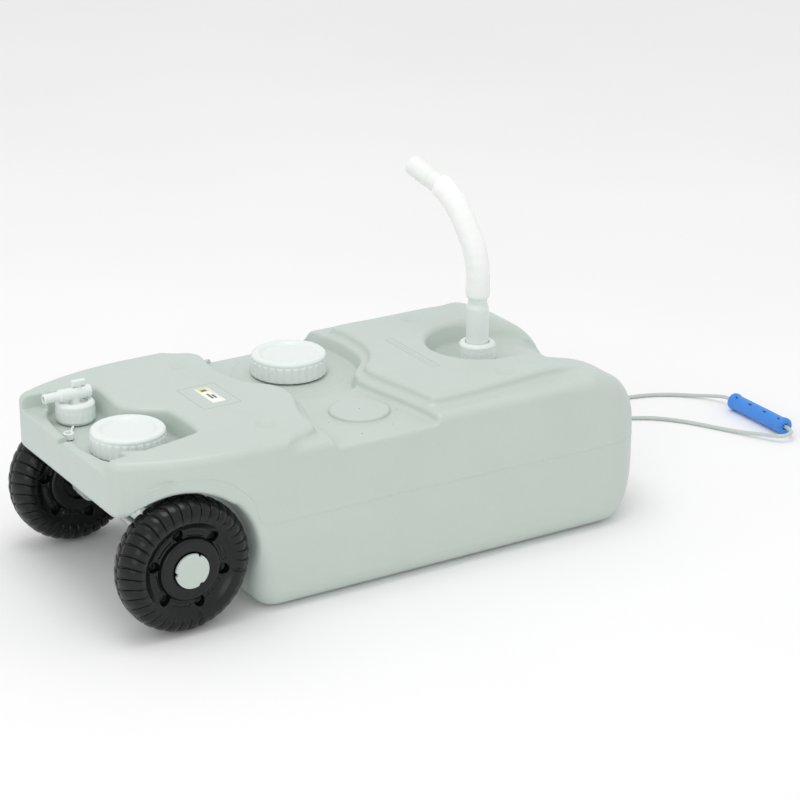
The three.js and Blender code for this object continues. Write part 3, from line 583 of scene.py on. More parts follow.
def make_bush(node, body):
    """A flanged bush with softened edges, in the place of its CAD node."""
    low, high = extent(node)
    side = math.copysign(1, middle(node)[1])
    near, far = sorted((abs(low[1]), abs(high[1])))
    bore, sleeve, rim = 6.3, 10, (high[2] - low[2]) / 2
    if node.startswith("wheel_bush_inner"):
        flange = near + 6.2
        line = [[bore, near], [rim, near], [rim, flange], [sleeve, flange], [sleeve, far], [bore, far]]
    else:
        flange = far - 1.5
        line = [[bore, near], [sleeve, near], [sleeve, flange], [rim, flange], [rim, far], [bore, far]]
    shape = turn(ring_line([[r, side * y] for r, y in line], 0.7), AXLE, 64, "y")
    build(f"{node}_ring", shape, tank_plastic, body, [node])


for wheel_name, wheel_side in (("right", -1), ("left", 1)):
    make_wheel(wheel_name, wheel_side)
    make_hub_cap(wheel_name, wheel_side)
    make_bush(f"wheel_bush_inner_{wheel_name}", f"wheel_{wheel_name}")
    make_bush(f"wheel_bush_outer_{wheel_name}", f"wheel_{wheel_name}")


def hexagonal(radius, bore):
    """A change that cuts a round outside of that radius to six flats, and leaves its bore round."""
    def change(angle, reach, height):
        sector = (angle + math.pi / 6) % (math.pi / 3) - math.pi / 6
        flat = radius * math.cos(math.pi / 6) / np.cos(sector)
        return np.where(reach > bore + 0.5, np.minimum(reach, flat), reach), height

    return change


def make_axle():
    low, high = extent("axle_rod")
    tip, radius = (high[1] - low[1]) / 2, (high[2] - low[2]) / 2
    profile = soften([
        [0, -tip], [radius - 2, -tip], [radius - 2, -tip + 4], [radius, -tip + 4.4], [radius, tip - 4.4],
        [radius - 2, tip - 4], [radius - 2, tip], [0, tip],
    ], 0.6, 2)
    build("axle_bar", turn(refine(profile, 12), AXLE, 48, "y"), zinc_steel, "tank", ["axle_rod"])
    for kind, bore in (("washer", 6.3), ("nut", 4.3)):
        for side in ("right", "left"):
            node = f"axle_{kind}_{side}"
            low, high = extent(node)
            radius = (high[2] - low[2]) / 2
            line = ring_line([[bore, low[1]], [radius, low[1]], [radius, high[1]], [bore, high[1]]], 0.4)
            flats = hexagonal(radius, bore) if kind == "nut" else None
            build(f"{node}_ring", turn(line, AXLE, 72, "y", flats), zinc_steel, "tank", [node])


make_axle()


# ---------------------------------------------------------------- screw caps, collars, seals and necks
RIB = 1.1  # how far a cap's ribs stand out
THREAD = {"pitch": 6.0, "ridge": 1.1, "wall": 5.0}
CAP_KINDS = {
    # ribs round the cap, bore of its neck, floor the neck stands on, radius of the hole in its top (0: none)
    "inlet_cap": {"ribs": 30, "bore": 40.0, "floor": 209.0, "hole": 0.0},
    "drain_cap": {"ribs": 30, "bore": 37.0, "floor": 207.0, "hole": 0.0},
    "tap_collar": {"ribs": 18, "bore": 15.0, "floor": 207.0, "hole": 17.3},
    "spout_collar": {"ribs": 18, "bore": 15.0, "floor": 213.0, "hole": 17.3},
}


def make_cap(node, ribs, bore, hole, **_):
    low, high = extent(node)
    x, y, _ = middle(node)
    radius, bottom, top = (high[1] - low[1]) / 2, low[2], high[2]
    cavity = bore + THREAD["wall"] + THREAD["ridge"] + 0.3
    if radius > 40:  # a large cap: closed, with a raised rim
        depth, softness, under = RIB, 2.2, top - 7
        shoulder = ribs_end = top - 6.4
        inside = [[radius - 12, top], [radius - 16.4, top - 4], [0, top - 4], [0, under]]
    else:  # a collar: a small ring with a hole
        depth, softness, under = 0.5, 1.2, top - 3
        shoulder, ribs_end = top - 3.6, bottom + 0.6 * (top - bottom)
        inside = [[hole + 0.6, top], [hole, top - 0.6], [hole, under]]
    root = radius - depth
    outside = [
        [cavity, bottom], [root, bottom], [root, shoulder], [radius - 0.7, top - 3.2], [radius - 3.2, top],
    ]
    line = refine(ring_line(outside + inside + [[cavity, under]], softness, 4), 1.0)

    def ribbed(angle, reach, height):
        rib = smooth_step(np.cos(angle * ribs), -0.75, -0.15)
        band = smooth_step(height, bottom + 0.4, bottom + 1.6) * fade(height, ribs_end - 2.0, ribs_end)
        return reach + depth * rib * band * smooth_step(reach, root - 0.8, root - 0.1), height

    build(f"{node}_moulding", turn(line, (x, y, 0), ribs * 16, "z", ribbed), cap_plastic, node, [node])


def make_seal(node, body):
    low, high = extent(node)
    outer, half = (high[0] - low[0]) / 2, (high[2] - low[2]) / 2
    inner = outer - 4.2
    line = ring_line([[inner, -half], [outer, -half], [outer, half], [inner, half]], 0.5)
    build(f"{node}_ring", turn(line, middle(node)), seal_rubber, body, [node])


def neck_parts(node, bore, floor, **_):
    """An open neck with a helical thread, standing on the tank's skin under the cap named node."""
    x, y, _ = middle(node)
    top = extent(node.replace("_cap", "_gasket").replace("_collar", "_gasket"))[0][2] - 0.3
    outer = bore + THREAD["wall"]
    line = refine(soften([[bore, floor - 6], [bore, top], [outer, top], [outer, floor - 6]], 0.9, 3), 0.5)
    low_end, high_end = floor + 5, top - 2.5

    def threaded(angle, reach, height):
        phase = (height - low_end - THREAD["pitch"] * angle / FULL) % THREAD["pitch"]
        ridge = fade(np.abs(phase - THREAD["pitch"] / 2), 0.5, 1.2)
        span = smooth_step(height, low_end, low_end + 1) * fade(height, high_end - 1, high_end)
        return reach + THREAD["ridge"] * ridge * span * (reach > outer - 0.1), height

    return turn(line, (x, y, 0), 144, "z", threaded)


for cap_node, kind in CAP_KINDS.items():
    make_cap(cap_node, **kind)
for seal_node, seal_body in (("inlet_gasket", "inlet_seal"), ("drain_gasket", "drain_seal"),
                             ("tap_gasket", "tap"), ("spout_gasket", "spout_seal")):
    make_seal(seal_node, seal_body)
necks = join_parts(*(neck_parts(node, **kind) for node, kind in CAP_KINDS.items()))
build("tank_necks", necks, tank_plastic, "tank", closed=False)



# ---------------------------------------------------------------- spout
HOSE_TURN = math.radians(70)  # from the nose towards +Y
HOSE_ROUTE = [  # reach from the stem's axis, height
    (0, 306.3), (-0.2, 318), (-0.5, 330), (0, 343), (2, 358), (7.2, 379), (19, 403), (31.3, 423.7),
    (43.6, 439.9), (54.5, 450.5), (64, 457.2), (70, 459.9),
]


def make_stem():
    low, high = extent("spout_stem")
    x, y, _ = middle("spout_stem")
    flange, base, top = (high[0] - low[0]) / 2, low[2], high[2]
    line = ring_line([
        [9.5, base], [flange, base], [flange, base + 3], [17.2, base + 3], [16.3, base + 5], [16.1, 292],
        [13.9, 297.5], [13.8, 306], [11.8, 306.2], [11.8, top], [9.5, top],
    ], 1.6, 4)
    build("spout_stem_pipe", turn(refine(line, 3), (x, y, 0)), cap_plastic, "spout", ["spout_stem"])


def rim_between(outer_ring, inner_ring, centre):
    """A flat ring face between two loops of points round the same centre."""
    count = len(outer_ring)
    picked = inner_ring[(np.arange(count) * len(inner_ring)) // count]
    reach = np.linalg.norm(picked - centre, axis=1)[:, None]
    return np.vstack([outer_ring, centre + unit(outer_ring - centre) * reach]), grid_faces(2, count)


def make_hose(line, across):
    along = lengths_along(line)
    length = along[-1]
    # the foot is swollen where the stem plugs in, then the pipe runs plain with faint ring marks
    body = 17.0 + 0.4 * fade(along, 10, 26) - 0.1 * smooth_step(along, length * 0.3, length)
    foot = np.interp(along, [0, 1.2, 4.5], [14.6, 16.2, 17.4])
    radius = np.where(along < 4.5, np.minimum(foot, body), body)
    radius = radius * np.interp(along, [length - 5, length - 1.5, length], [1.0, 0.985, 0.94])
    marks = 0.12 * np.cos(along / 4.2 * FULL / 4) * smooth_step(along, 20, 40)
    marks = marks * fade(along, length - 25, length - 12)
    around, within = 72, 48  # points round the outside and the bore
    outside = sweep(line, radius + marks, around, first_side=across, ends=False)
    inside = sweep(line, 13.0, within, first_side=across, ends=False)
    lips = [
        rim_between(outside[0][:around], inside[0][:within], line[0]),
        rim_between(outside[0][-around:], inside[0][-within:], line[-1]),
    ]
    shape = join_parts(outside, (inside[0], inside[1][:, ::-1]), *lips)
    build("spout_hose_pipe", shape, hose_plastic, "spout", ["spout_hose"])


def make_tip(line, across):
    ahead = unit(line[-1] - line[-2])
    end, dome, mouth, tip = 57.8, 10, 7.5, 15.0
    domed = [
        [mouth + (tip - mouth) * math.cos(a), end - dome + dome * math.sin(a)]
        for a in np.linspace(0, FULL / 4, 12)
    ]
    band = soften([[9.5, -9], [11.5, -9], [11.5, 0.3], [14.5, 0.3], [14.4, 15.6], [13.8, 16.2], [14.6, 16.6],
                   [tip, 19]], 0.7, 3)
    throat = soften([domed[-1], [mouth, end - 6], [9.5, end - 8], [9.5, 20]], 0.8, 3)
    points, faces = turn(np.vstack([band, domed[:-1], throat, band[:1]]), (0, 0, 0), 72)
    points = line[-1] + points @ np.stack([across, np.cross(ahead, across), ahead])
    build("spout_tip", (points, faces), tip_plastic, "spout", ["spout_nozzle"])


def make_spout():
    make_stem()
    x, y, _ = middle("spout_stem")
    cosine, sine = math.cos(HOSE_TURN), math.sin(HOSE_TURN)
    line = catmull_rom([(x - reach * cosine, y + reach * sine, height) for reach, height in HOSE_ROUTE], 1.0)
    across = np.array([sine, cosine, 0.0])
    make_hose(line, across)
    make_tip(line, across)


make_spout()


# ---------------------------------------------------------------- signed distances: in mm, negative inside
def union(a, b, radius):
    """Both solids, their inner corner filled to radius."""
    corner = np.hypot(np.maximum(radius - a, 0), np.maximum(radius - b, 0))
    return np.maximum(radius, np.minimum(a, b)) - corner


def overlap(a, b, radius):
    """What both solids share, its edge rounded to radius."""
    corner = np.hypot(np.maximum(radius + a, 0), np.maximum(radius + b, 0))
    return np.minimum(-radius, np.maximum(a, b)) + corner


def remove(a, b, radius):
    return overlap(a, -b, radius)


def outline_distance(x, y, points):
    """Distance from (x, y) to a closed outline, negative inside it."""
    best = np.full(np.broadcast(x, y).shape, np.inf, np.float32)
    inside = np.zeros(best.shape, bool)
    for (ax, ay), (bx, by) in zip(points, np.roll(points, -1, 0)):
        ex, ey = bx - ax, by - ay
        px, py = x - ax, y - ay
        share = np.clip((px * ex + py * ey) / max(ex * ex + ey * ey, 1e-9), 0, 1)
        best = np.minimum(best, (px - ex * share) ** 2 + (py - ey * share) ** 2)
        if ey:
            inside ^= ((ay > y) != (by > y)) & (px < ex * py / ey)
    return np.where(inside, -1, 1) * np.sqrt(best)


class Outline:
    """A plan or side outline, kept as a table of distances so that it is quick to look up."""

    STEP = 2.0

    def __init__(self, points, low, high, rounds=0):
        points = np.array(points, float)
        for _ in range(rounds):  # cuts each corner a quarter of the way along both its sides
            after = np.roll(points, -1, 0)
            points = np.stack([0.75 * points + 0.25 * after, 0.25 * points + 0.75 * after], 1).reshape(-1, 2)
        self.low = np.array(low, float)
        counts = [int(np.ceil((high[k] - low[k]) / self.STEP)) + 1 for k in (0, 1)]
        u, v = (low[k] + self.STEP * np.arange(counts[k]) for k in (0, 1))
        self.table = outline_distance(u[:, None], v[None, :], points).astype(np.float32)

    def __call__(self, u, v):
        s = np.clip((u - self.low[0]) / self.STEP, 0, self.table.shape[0] - 1.001)
        t = np.clip((v - self.low[1]) / self.STEP, 0, self.table.shape[1] - 1.001)
        i, j = s.astype(int), t.astype(int)
        s, t = s - i, t - j
        i, j = np.broadcast_arrays(i, j)
        k = self.table
        near = k[i, j] * (1 - t) + k[i, j + 1] * t
        far = k[i + 1, j] * (1 - t) + k[i + 1, j + 1] * t
        return near * (1 - s) + far * s


def surface_net(distance, low, high, step):
    """Points and quads of the zero level of a distance, from cells of one step."""
    low = np.array(low, float)
    count = np.ceil((np.array(high) - low) / step).astype(int) + 1
    axes = [(low[k] + step * np.arange(count[k])).astype(np.float32) for k in range(3)]
    field = np.broadcast_to(
        distance(axes[0][:, None, None], axes[1][None, :, None], axes[2][None, None, :]), count
    ).astype(np.float32)
    inside = field < 0
    corners = [(a, b, c) for a in (0, 1) for b in (0, 1) for c in (0, 1)]
    window = [slice(0, -1), slice(1, None)]
    total = sum(inside[window[a], window[b], window[c]].astype(np.int8) for a, b, c in corners)
    active = (total > 0) & (total < 8)
    cells = np.argwhere(active)
    index = np.full(active.shape, -1, np.int32)
    index[active] = np.arange(len(cells))
    values = {c: field[tuple((cells + c).T)] for c in corners}
    place, hits = np.zeros((len(cells), 3)), np.zeros(len(cells))
    for first in corners:
        for axis in range(3):
            if first[axis]:
                continue
            second = tuple(1 if k == axis else first[k] for k in range(3))
            a, b = values[first], values[second]
            crossed = (a < 0) != (b < 0)
            share = np.where(crossed, a / np.where(crossed, a - b, 1), 0)
            point = np.array(first, float)[None, :].repeat(len(cells), 0)
            point[:, axis] += share
            place += point * crossed[:, None]
            hits += crossed
    points = low + step * (cells + place / hits[:, None])
    faces = []
    for axis in range(3):
        near = [slice(0, -1) if k == axis else slice(1, -1) for k in range(3)]
        far = [slice(1, None) if k == axis else slice(1, -1) for k in range(3)]
        change = inside[tuple(near)] != inside[tuple(far)]
        edges = np.argwhere(change)
        leaving = inside[tuple(near)][change]
        b, c = [k for k in range(3) if k != axis]
        ring = []
        for db, dc in ((0, 0), (1, 0), (1, 1), (0, 1)):
            cell = edges.copy()
            cell[:, b] += db
            cell[:, c] += dc
            ring.append(index[tuple(cell.T)])
        quads = np.stack(ring, 1)
        flip = leaving if axis == 1 else ~leaving
        quads[flip] = quads[flip][:, ::-1]
        faces.append(quads)
    return points, np.concatenate(faces)


def slope_of(distance, points, reach=0.4):
    """The outward direction of a distance at each point, and the distance there."""
    x, y, z = points.T
    slope = np.stack([
        distance(x + reach, y, z) - distance(x - reach, y, z),
        distance(x, y + reach, z) - distance(x, y - reach, z),
        distance(x, y, z + reach) - distance(x, y, z - reach),
    ], 1) / (2 * reach)
    return slope, distance(x, y, z)


def settle(distance, points, rounds=2, limit=1.5):
    """Moves points onto the zero level and gives the direction of the surface there."""
    for _ in range(rounds):
        slope, value = slope_of(distance, points)
        size = np.maximum((slope ** 2).sum(1), 0.25)
        move = -slope * (value / size)[:, None]
        far = np.linalg.norm(move, axis=1, keepdims=True)
        points = points + move * np.minimum(1, limit / np.maximum(far, 1e-9))
    slope, _ = slope_of(distance, points)
    return points, slope / np.maximum(np.linalg.norm(slope, axis=1, keepdims=True), 1e-9)


def thinned(name, points, faces, share):
    """The mesh collapsed to a share of its faces, flat parts first."""
    mesh = bpy.data.meshes.new(name)
    mesh.from_pydata(points.tolist(), [], faces.tolist())
    holder = add_object(name, mesh)
    modifier = holder.modifiers.new("thin", "DECIMATE")
    modifier.ratio = share
    modifier.use_collapse_triangulate = True
    made = bpy.data.meshes.new_from_object(holder.evaluated_get(bpy.context.evaluated_depsgraph_get()))
    out = np.zeros(len(made.vertices) * 3, np.float32)
    made.vertices.foreach_get("co", out)
    corners = np.zeros(len(made.loops), np.int32)
    made.loops.foreach_get("vertex_index", corners)
    bpy.data.objects.remove(holder)
    bpy.data.meshes.remove(made)
    bpy.data.meshes.remove(mesh)
    return out.reshape(-1, 3).astype(float), corners.reshape(-1, 3)


# ---------------------------------------------------------------- the tank's shape
TANK_LOW, TANK_HIGH = extent("tank_shell")
HALF = TANK_HIGH[1]
TOP = TANK_HIGH[2]
NOSE = TANK_LOW[0]
END = 355.0  # the rope end's face; the rope's eye stands out beyond it
SHOULDER = TOP - 13
ARCH = {"radius": 100.0, "inner": 130.0}
PLAN_LOW, PLAN_HIGH = (NOSE - 24, -HALF - 24), (END + 40, HALF + 24)
SIDE_LOW, SIDE_HIGH = (NOSE - 24, -24), (END + 40, TOP + 24)


def curve(start, control, end, count=8):
    """Points of a quadratic curve, without its first."""
    t = np.linspace(0, 1, count + 1)[1:, None]
    a, b, c = (np.array(p, float) for p in (start, control, end))
    return ((1 - t) ** 2 * a + 2 * t * (1 - t) * b + t * t * c).tolist()


def arc(centre, radii, first, last, count=14):
    """Points of an ellipse's arc between two angles in degrees."""
    angle = np.radians(np.linspace(first, last, count + 1))
    return np.stack([centre[0] + radii[0] * np.cos(angle), centre[1] + radii[1] * np.sin(angle)], 1).tolist()


def mirrored(points):
    """The points, then their mirror images in the second value, the other way round."""
    return points + [[x, -y] for x, y in reversed(points)]


CORNER = 80
NOSE_FLARE = -295
# The plan runs on past the rope end and the side view past the nose, so that no face is given twice.
plan_half = (
    [[NOSE, 0], [NOSE, -134]] + curve((NOSE, -134), (NOSE, -150), (NOSE + 16, -156))
    + curve((NOSE + 16, -156), (NOSE_FLARE - 90, 3 - HALF), (NOSE_FLARE, -HALF), 12)
    + arc((END - CORNER, CORNER - HALF), (CORNER, CORNER), -90, -30, 10) + [[END + 79, 0]]
)
plan_outline = Outline(mirrored(plan_half), PLAN_LOW, PLAN_HIGH)

UNDER = 163.0
arch_start = math.degrees(math.asin((UNDER - AXLE_Z) / ARCH["radius"]))
arch_end = AXLE_X + ARCH["radius"]
side_points = (
    [[-247, 0]] + arc((END - 80, 100), (80, 100), -90, 0) + arc((END - 170, TOP - 100), (170, 100), 0, 90)
    + [[NOSE - 60, TOP], [NOSE - 60, UNDER]]
    + arc((AXLE_X, AXLE_Z), (ARCH["radius"], ARCH["radius"]), arch_start, 0)
    + [[arch_end, 45]] + curve((arch_end, 45), (arch_end, 0), (-247, 0))
)
side_outline = Outline(side_points, SIDE_LOW, SIDE_HIGH)
# the space over the spout recess's floor, which falls away at the rope end
channel_points = [[225, 400]] + arc((225, 131), (130, 76), 90, 0) + [[480, 131], [480, 400]]
channel_outline = Outline(channel_points, SIDE_LOW, SIDE_HIGH)

OUT = HALF + 60  # clear of the tank in Y
nose_plate = [
    [-560, -OUT], [-245, -OUT], [-235, -186], [-182, -172], [-177, -140], [-173, -108], [-159, -74],
    [-150, -48], [-148, -22], [-158, 2], [-178, 20], [-190, 42], [-196, 75], [-194, 120], [-184, 165],
    [-235, 186], [-245, OUT], [-560, OUT],
]
rope_plate = [
    [280, -OUT], [262, -156], [240, -143], [5, -170], [2, -140], [-4, -100], [-12, -60], [-17, -30],
    [-15, -6], [5, 14], [20, 36], [30, 60], [34, 100], [33, 140], [20, 168], [240, 143], [262, 156],
    [280, OUT], [460, OUT], [460, -OUT],
]
waist_gap = [
    [-177, -OUT], [-166, -170], [-164, -120], [-150, -74], [-141, -46], [-139, -20], [-149, 8],
    [-169, 28], [-181, 46], [-187, 75], [-185, 120], [-176, 165], [-176, OUT], [6, OUT], [10, 168],
    [21, 140], [22, 100], [18, 62], [8, 40], [-8, 24], [-28, 0], [-27, -30], [-22, -60], [-14, -100],
    [-7, -140], [-4, -170], [-2, -OUT],
]
front_pocket = [
    [-461, -133], [-328, -106], [-319, -94], [-319, -16], [-330, -5], [-350, 6], [-366, 22],
    [-374, 38], [-367, 106], [-376, 121], [-461, 138],
]
front_mouth = [[-560, -138], [-440, -130], [-440, 131], [-560, 139]]
RECESS_X, RECESS_R, CHANNEL_HALF = 182, 78, 72
spout_recess = [[460, -RECESS_R], [460, RECESS_R]] + arc((RECESS_X, 0), (RECESS_R, RECESS_R), 90, 270, 24)

nose_outline = Outline(nose_plate, PLAN_LOW, PLAN_HIGH, rounds=3)
rope_outline = Outline(rope_plate, PLAN_LOW, PLAN_HIGH, rounds=3)
waist_outline = Outline(waist_gap, PLAN_LOW, PLAN_HIGH, rounds=3)
pocket_outline = Outline(front_pocket, PLAN_LOW, PLAN_HIGH, rounds=2)
mouth_outline = Outline(front_mouth, PLAN_LOW, PLAN_HIGH)
recess_outline = Outline(spout_recess, PLAN_LOW, PLAN_HIGH)

WAIST_FLOOR, DEEP_FLOOR, POCKET_FLOOR, LIP, RECESS_FLOOR, PAD_TOP = 216, 209, 207, 220, 207, 213
DEEP_RADIUS = 121
BOSS = {"centre": (-76.0, -99.0), "radius": 41.8, "low": 200, "high": 221.0, "edge": 2.5}
PAD = {"radius": 36, "low": 190, "high": PAD_TOP, "edge": 2.5}
DIMPLES = [(-234, -126), (-234, 126), (143.5, -126), (143.5, 126)]
NOTCH_Y = 10
EYE_X, EYE_Z, EYE_RADIUS, EYE_HALF = 372.0, 46.0, 18.0, 22.0
NECKS = [(middle(node)[0], middle(node)[1], kind["bore"], kind["floor"]) for node, kind in CAP_KINDS.items()]


def sunk(outline, z, floor, lean, height, foot):
    """A pocket open upwards: its wall leans out by lean over height, its floor's edge is rounded to foot."""
    wall = outline - lean * np.clip((z - floor) / height, 0, 1.2) + lean
    return overlap(wall, floor - z, foot)


def upright_disc(x, y, z, centre, radius, low, high, edge):
    return overlap(np.hypot(x - centre[0], y - centre[1]) - radius, np.maximum(low - z, z - high), edge)


def edge_radius(x, z):
    """How far the long edges are rounded: most along the foot, more at the rope end than at the nose."""
    return 12 + 19 * fade(z, 40, 110) + 20 * smooth_step(x, 200, 300) * smooth_step(z, 40, 110)


def tank_distance(x, y, z):
    plates = np.minimum(nose_outline(x, y), rope_outline(x, y)) - 5 * np.clip((TOP - z) / 13, 0, 1) + 2
    shoulder = SHOULDER + 5 * smooth_step(x, 225, 262)  # fades out towards the rope end
    crown = overlap(side_outline(x, z), union(z - shoulder, plates, 6), 5)
    body = overlap(plan_outline(x, y), crown, edge_radius(x, z))
    axle = np.hypot(x - AXLE_X, z - AXLE_Z)
    arch_edge = 1.5 + 4.5 * smooth_step(np.abs(y), 165, 180)
    body = remove(body, overlap(axle - ARCH["radius"], ARCH["inner"] - np.abs(y), 5), arch_edge)

    waist = waist_outline(x, y)
    body = remove(body, sunk(waist, z, WAIST_FLOOR, 5, 16, 5), 5)
    deep = overlap(sunk(waist, z, DEEP_FLOOR, 5, 16, 4),
                   np.hypot(x - NECKS[0][0], y - NECKS[0][1]) - DEEP_RADIUS, 2)
    body = remove(body, deep, 2.5)
    body = union(body, upright_disc(x, y, z, **BOSS), 2)

    body = remove(body, sunk(pocket_outline(x, y), z, POCKET_FLOOR, 7, 32, 7), 6)
    body = remove(body, overlap(mouth_outline(x, y), LIP - z, 3), 4)
    notch = np.maximum(np.abs(y - NOTCH_Y) - 8, x + 452)
    body = remove(body, overlap(notch, POCKET_FLOOR + 3 - z, 3), 3)

    channel = overlap(channel_outline(x, z), np.abs(y) - CHANNEL_HALF, 9)
    recess = np.minimum(sunk(recess_outline(x, y), z, RECESS_FLOOR, 8, 32, 9), channel)
    body = remove(body, recess, 7 + 28 * smooth_step(x, 190, 250))
    body = union(body, upright_disc(x, y, z, NECKS[3][:2], **PAD), 3)

    for at in DIMPLES:
        ball = np.sqrt((x - at[0]) ** 2 + (y - at[1]) ** 2 + (z - TOP - 26) ** 2) - 30.4
        body = remove(body, ball, 1.5)

    ear = np.maximum(np.abs(x - AXLE_X) - 16 - 14 * np.clip((z - AXLE_Z) / 70, 0, 1), AXLE_Z - z)
    ear = np.minimum(ear, axle - 16)
    ear = np.maximum(np.maximum(ear, z - UNDER - 8), np.abs(np.abs(y) - 117) - 13)
    body = union(body, ear + 1, 4)
    body = remove(body, axle - 6.6, 1.5)

    eye = np.hypot(np.maximum(x - EYE_X, 0) + np.minimum(x - 320, 0), z - EYE_Z) - EYE_RADIUS
    eye = overlap(eye, np.abs(y) - EYE_HALF, 5)
    body = union(body, eye, 9)
    body = remove(body, np.hypot(x - EYE_X, z - EYE_Z) - 4.4, 2)

    for cx, cy, bore, floor in NECKS:
        shaft = np.maximum(np.hypot(x - cx, y - cy) - bore - 2.5, floor - 24 - z)
        body = remove(body, shaft, 1.2)
    return body


def chamber_distance(x, y, z):
    """The hollow inside, a few millimetres within the skin and kept clear of every recess."""
    wall = 5
    inside = overlap(side_outline(x, z) + wall, z - (POCKET_FLOOR - wall), 8)
    inside = overlap(plan_outline(x, y) + wall, inside, edge_radius(x, z))
    inside = remove(inside, np.maximum(channel_outline(x, z), np.abs(y) - CHANNEL_HALF) - wall, 4)
    axle = np.hypot(x - AXLE_X, z - AXLE_Z)
    return remove(inside, overlap(axle - ARCH["radius"] - wall, ARCH["inner"] - wall - np.abs(y), 5), 5)


def make_tank():
    step = 2.2
    low, high = TANK_LOW - 3 * step, TANK_HIGH + 3 * step
    points, faces = surface_net(tank_distance, low, high, step)
    points, faces = thinned("tank_skin", points, faces, 190_000 / (2 * len(faces)))
    points, normals = settle(tank_distance, points)
    # each bore runs through the skin into the hollow inside
    inner = chamber_distance(*points.T)
    in_bore = np.zeros(len(points), bool)
    for cx, cy, bore, floor in NECKS:
        near = np.hypot(points[:, 0] - cx, points[:, 1] - cy) < bore + 4
        in_bore |= near & (points[:, 2] < floor - 2) & (inner < -1.5)
    keep = ~in_bore[faces].all(axis=1)
    skin = points, faces[keep]
    build("tank_skin", skin, tank_plastic, "tank", ["tank_shell"], normals, closed=False)

    coarse = 9.0
    points, faces = surface_net(chamber_distance, low, high, coarse)
    hole = np.zeros(len(points), bool)
    for cx, cy, bore, floor in NECKS:
        near = np.hypot(points[:, 0] - cx, points[:, 1] - cy) < bore + 1.5
        hole |= near & (points[:, 2] > floor - 30)
    keep = ~hole[faces].any(axis=1)
    build("tank_inside", (points, faces[keep][:, ::-1]), tank_plastic, "tank", closed=False)


make_tank()


# ---------------------------------------------------------------- small marks on the tank
def on_tank(points):
    """Points of a line moved onto the tank's skin."""
    return settle(tank_distance, np.array(points, float), rounds=4, limit=4)[0]


def bead(points, radius, sides=8, sink=0.25, step=3.0):
    """A thin raised line on the skin."""
    line = catmull_rom(points, step) if len(points) > 2 else refine(np.array(points, float), step)
    line = on_tank(line)
    _, normal = settle(tank_distance, line, rounds=1)
    return sweep(line - normal * sink, radius, sides)


def top_line(start, end, radius, step):
    """A fine straight line on the tank's top, half sunk in."""
    return bead([[*start, TOP], [*end, TOP]], radius, 6, radius * 0.5, step)


def rectangle_lines(x0, x1, y0, y1, radius):
    corners = [(x0, y0), (x1, y0), (x1, y1), (x0, y1)]
    return [top_line(a, b, radius, 4) for a, b in zip(corners, corners[1:] + corners[:1])]


def make_marks():
    # the mould's joint line, round both sides and the rope end
    side_line = [[-440, 208], [-385, 214], [-330, 203], [-292, 170], [-278, 136], [-240, 130], [-100, 130],
                 [100, 128], [250, 126], [300, 126]]
    parts = [bead([[x, side * HALF, z] for x, z in side_line], 0.7) for side in (-1, 1)]
    half_end = [[300, -HALF, 126], [330, -150, 127], [352, -100, 128], [END, -40, 128]]
    parts.append(bead(half_end + [[x, -y, z] for x, y, z in reversed(half_end)], 0.7))
    # a ring round the inlet cap, on the waist's floor
    cx, cy = NECKS[0][:2]
    ring = np.radians(range(118, 320, 6))
    ring = [[cx + 82 * math.cos(a), cy + 82 * math.sin(a), DEEP_FLOOR] for a in ring]
    parts.append(bead(ring, 0.6, step=2))
    build("tank_joint_lines", join_parts(*parts), tank_plastic, "tank")

    # the engraved frame round the label, and the hatched strip on the rope-side plate, as raised beads in a
    # darker grey: painted shade in place of the shade inside the grooves
    parts = rectangle_lines(-281, -225, -40, 42, 0.35)
    x0, x1, y0, y1 = 64, 76, -63, 66
    parts += rectangle_lines(x0, x1, y0, y1, 0.32)
    for k, y in enumerate(np.arange(y0 + 6, y1 - 6, 7.0)):
        reach = (3.2, 2.2, 3.6)[k % 3]
        parts.append(top_line((70 - reach, y), (70 + reach, y + 2.4), 0.32, 3))
    # ejector-pin marks on the near side of the waist, small bumps in the same darker grey: painted shade
    for x, y in ((-130, -110), (-76, -99), (-60, -160), (-112, -168), (-28, -118)):
        at = on_tank([[x, y, 222.0]])[0]
        parts.append(turn([[0, 0.35], [0.7, 0.28], [1.1, 0], [0.9, -0.5], [0, -0.6]], at, 16))
    build("tank_engraved_marks", join_parts(*parts), painted_shade_plastic, "tank")


make_marks()


# ---------------------------------------------------------------- tap
def build_tap_piece(name, distance, node, body):
    """A small solid from its signed distance, in the place of its CAD node."""
    low, high = extent(node)
    points, faces = surface_net(distance, low - 3, high + 3, 0.6)
    points, normals = settle(distance, points, limit=0.4)
    build(name, (points, faces), cap_plastic, body, [node], normals, closed=False)


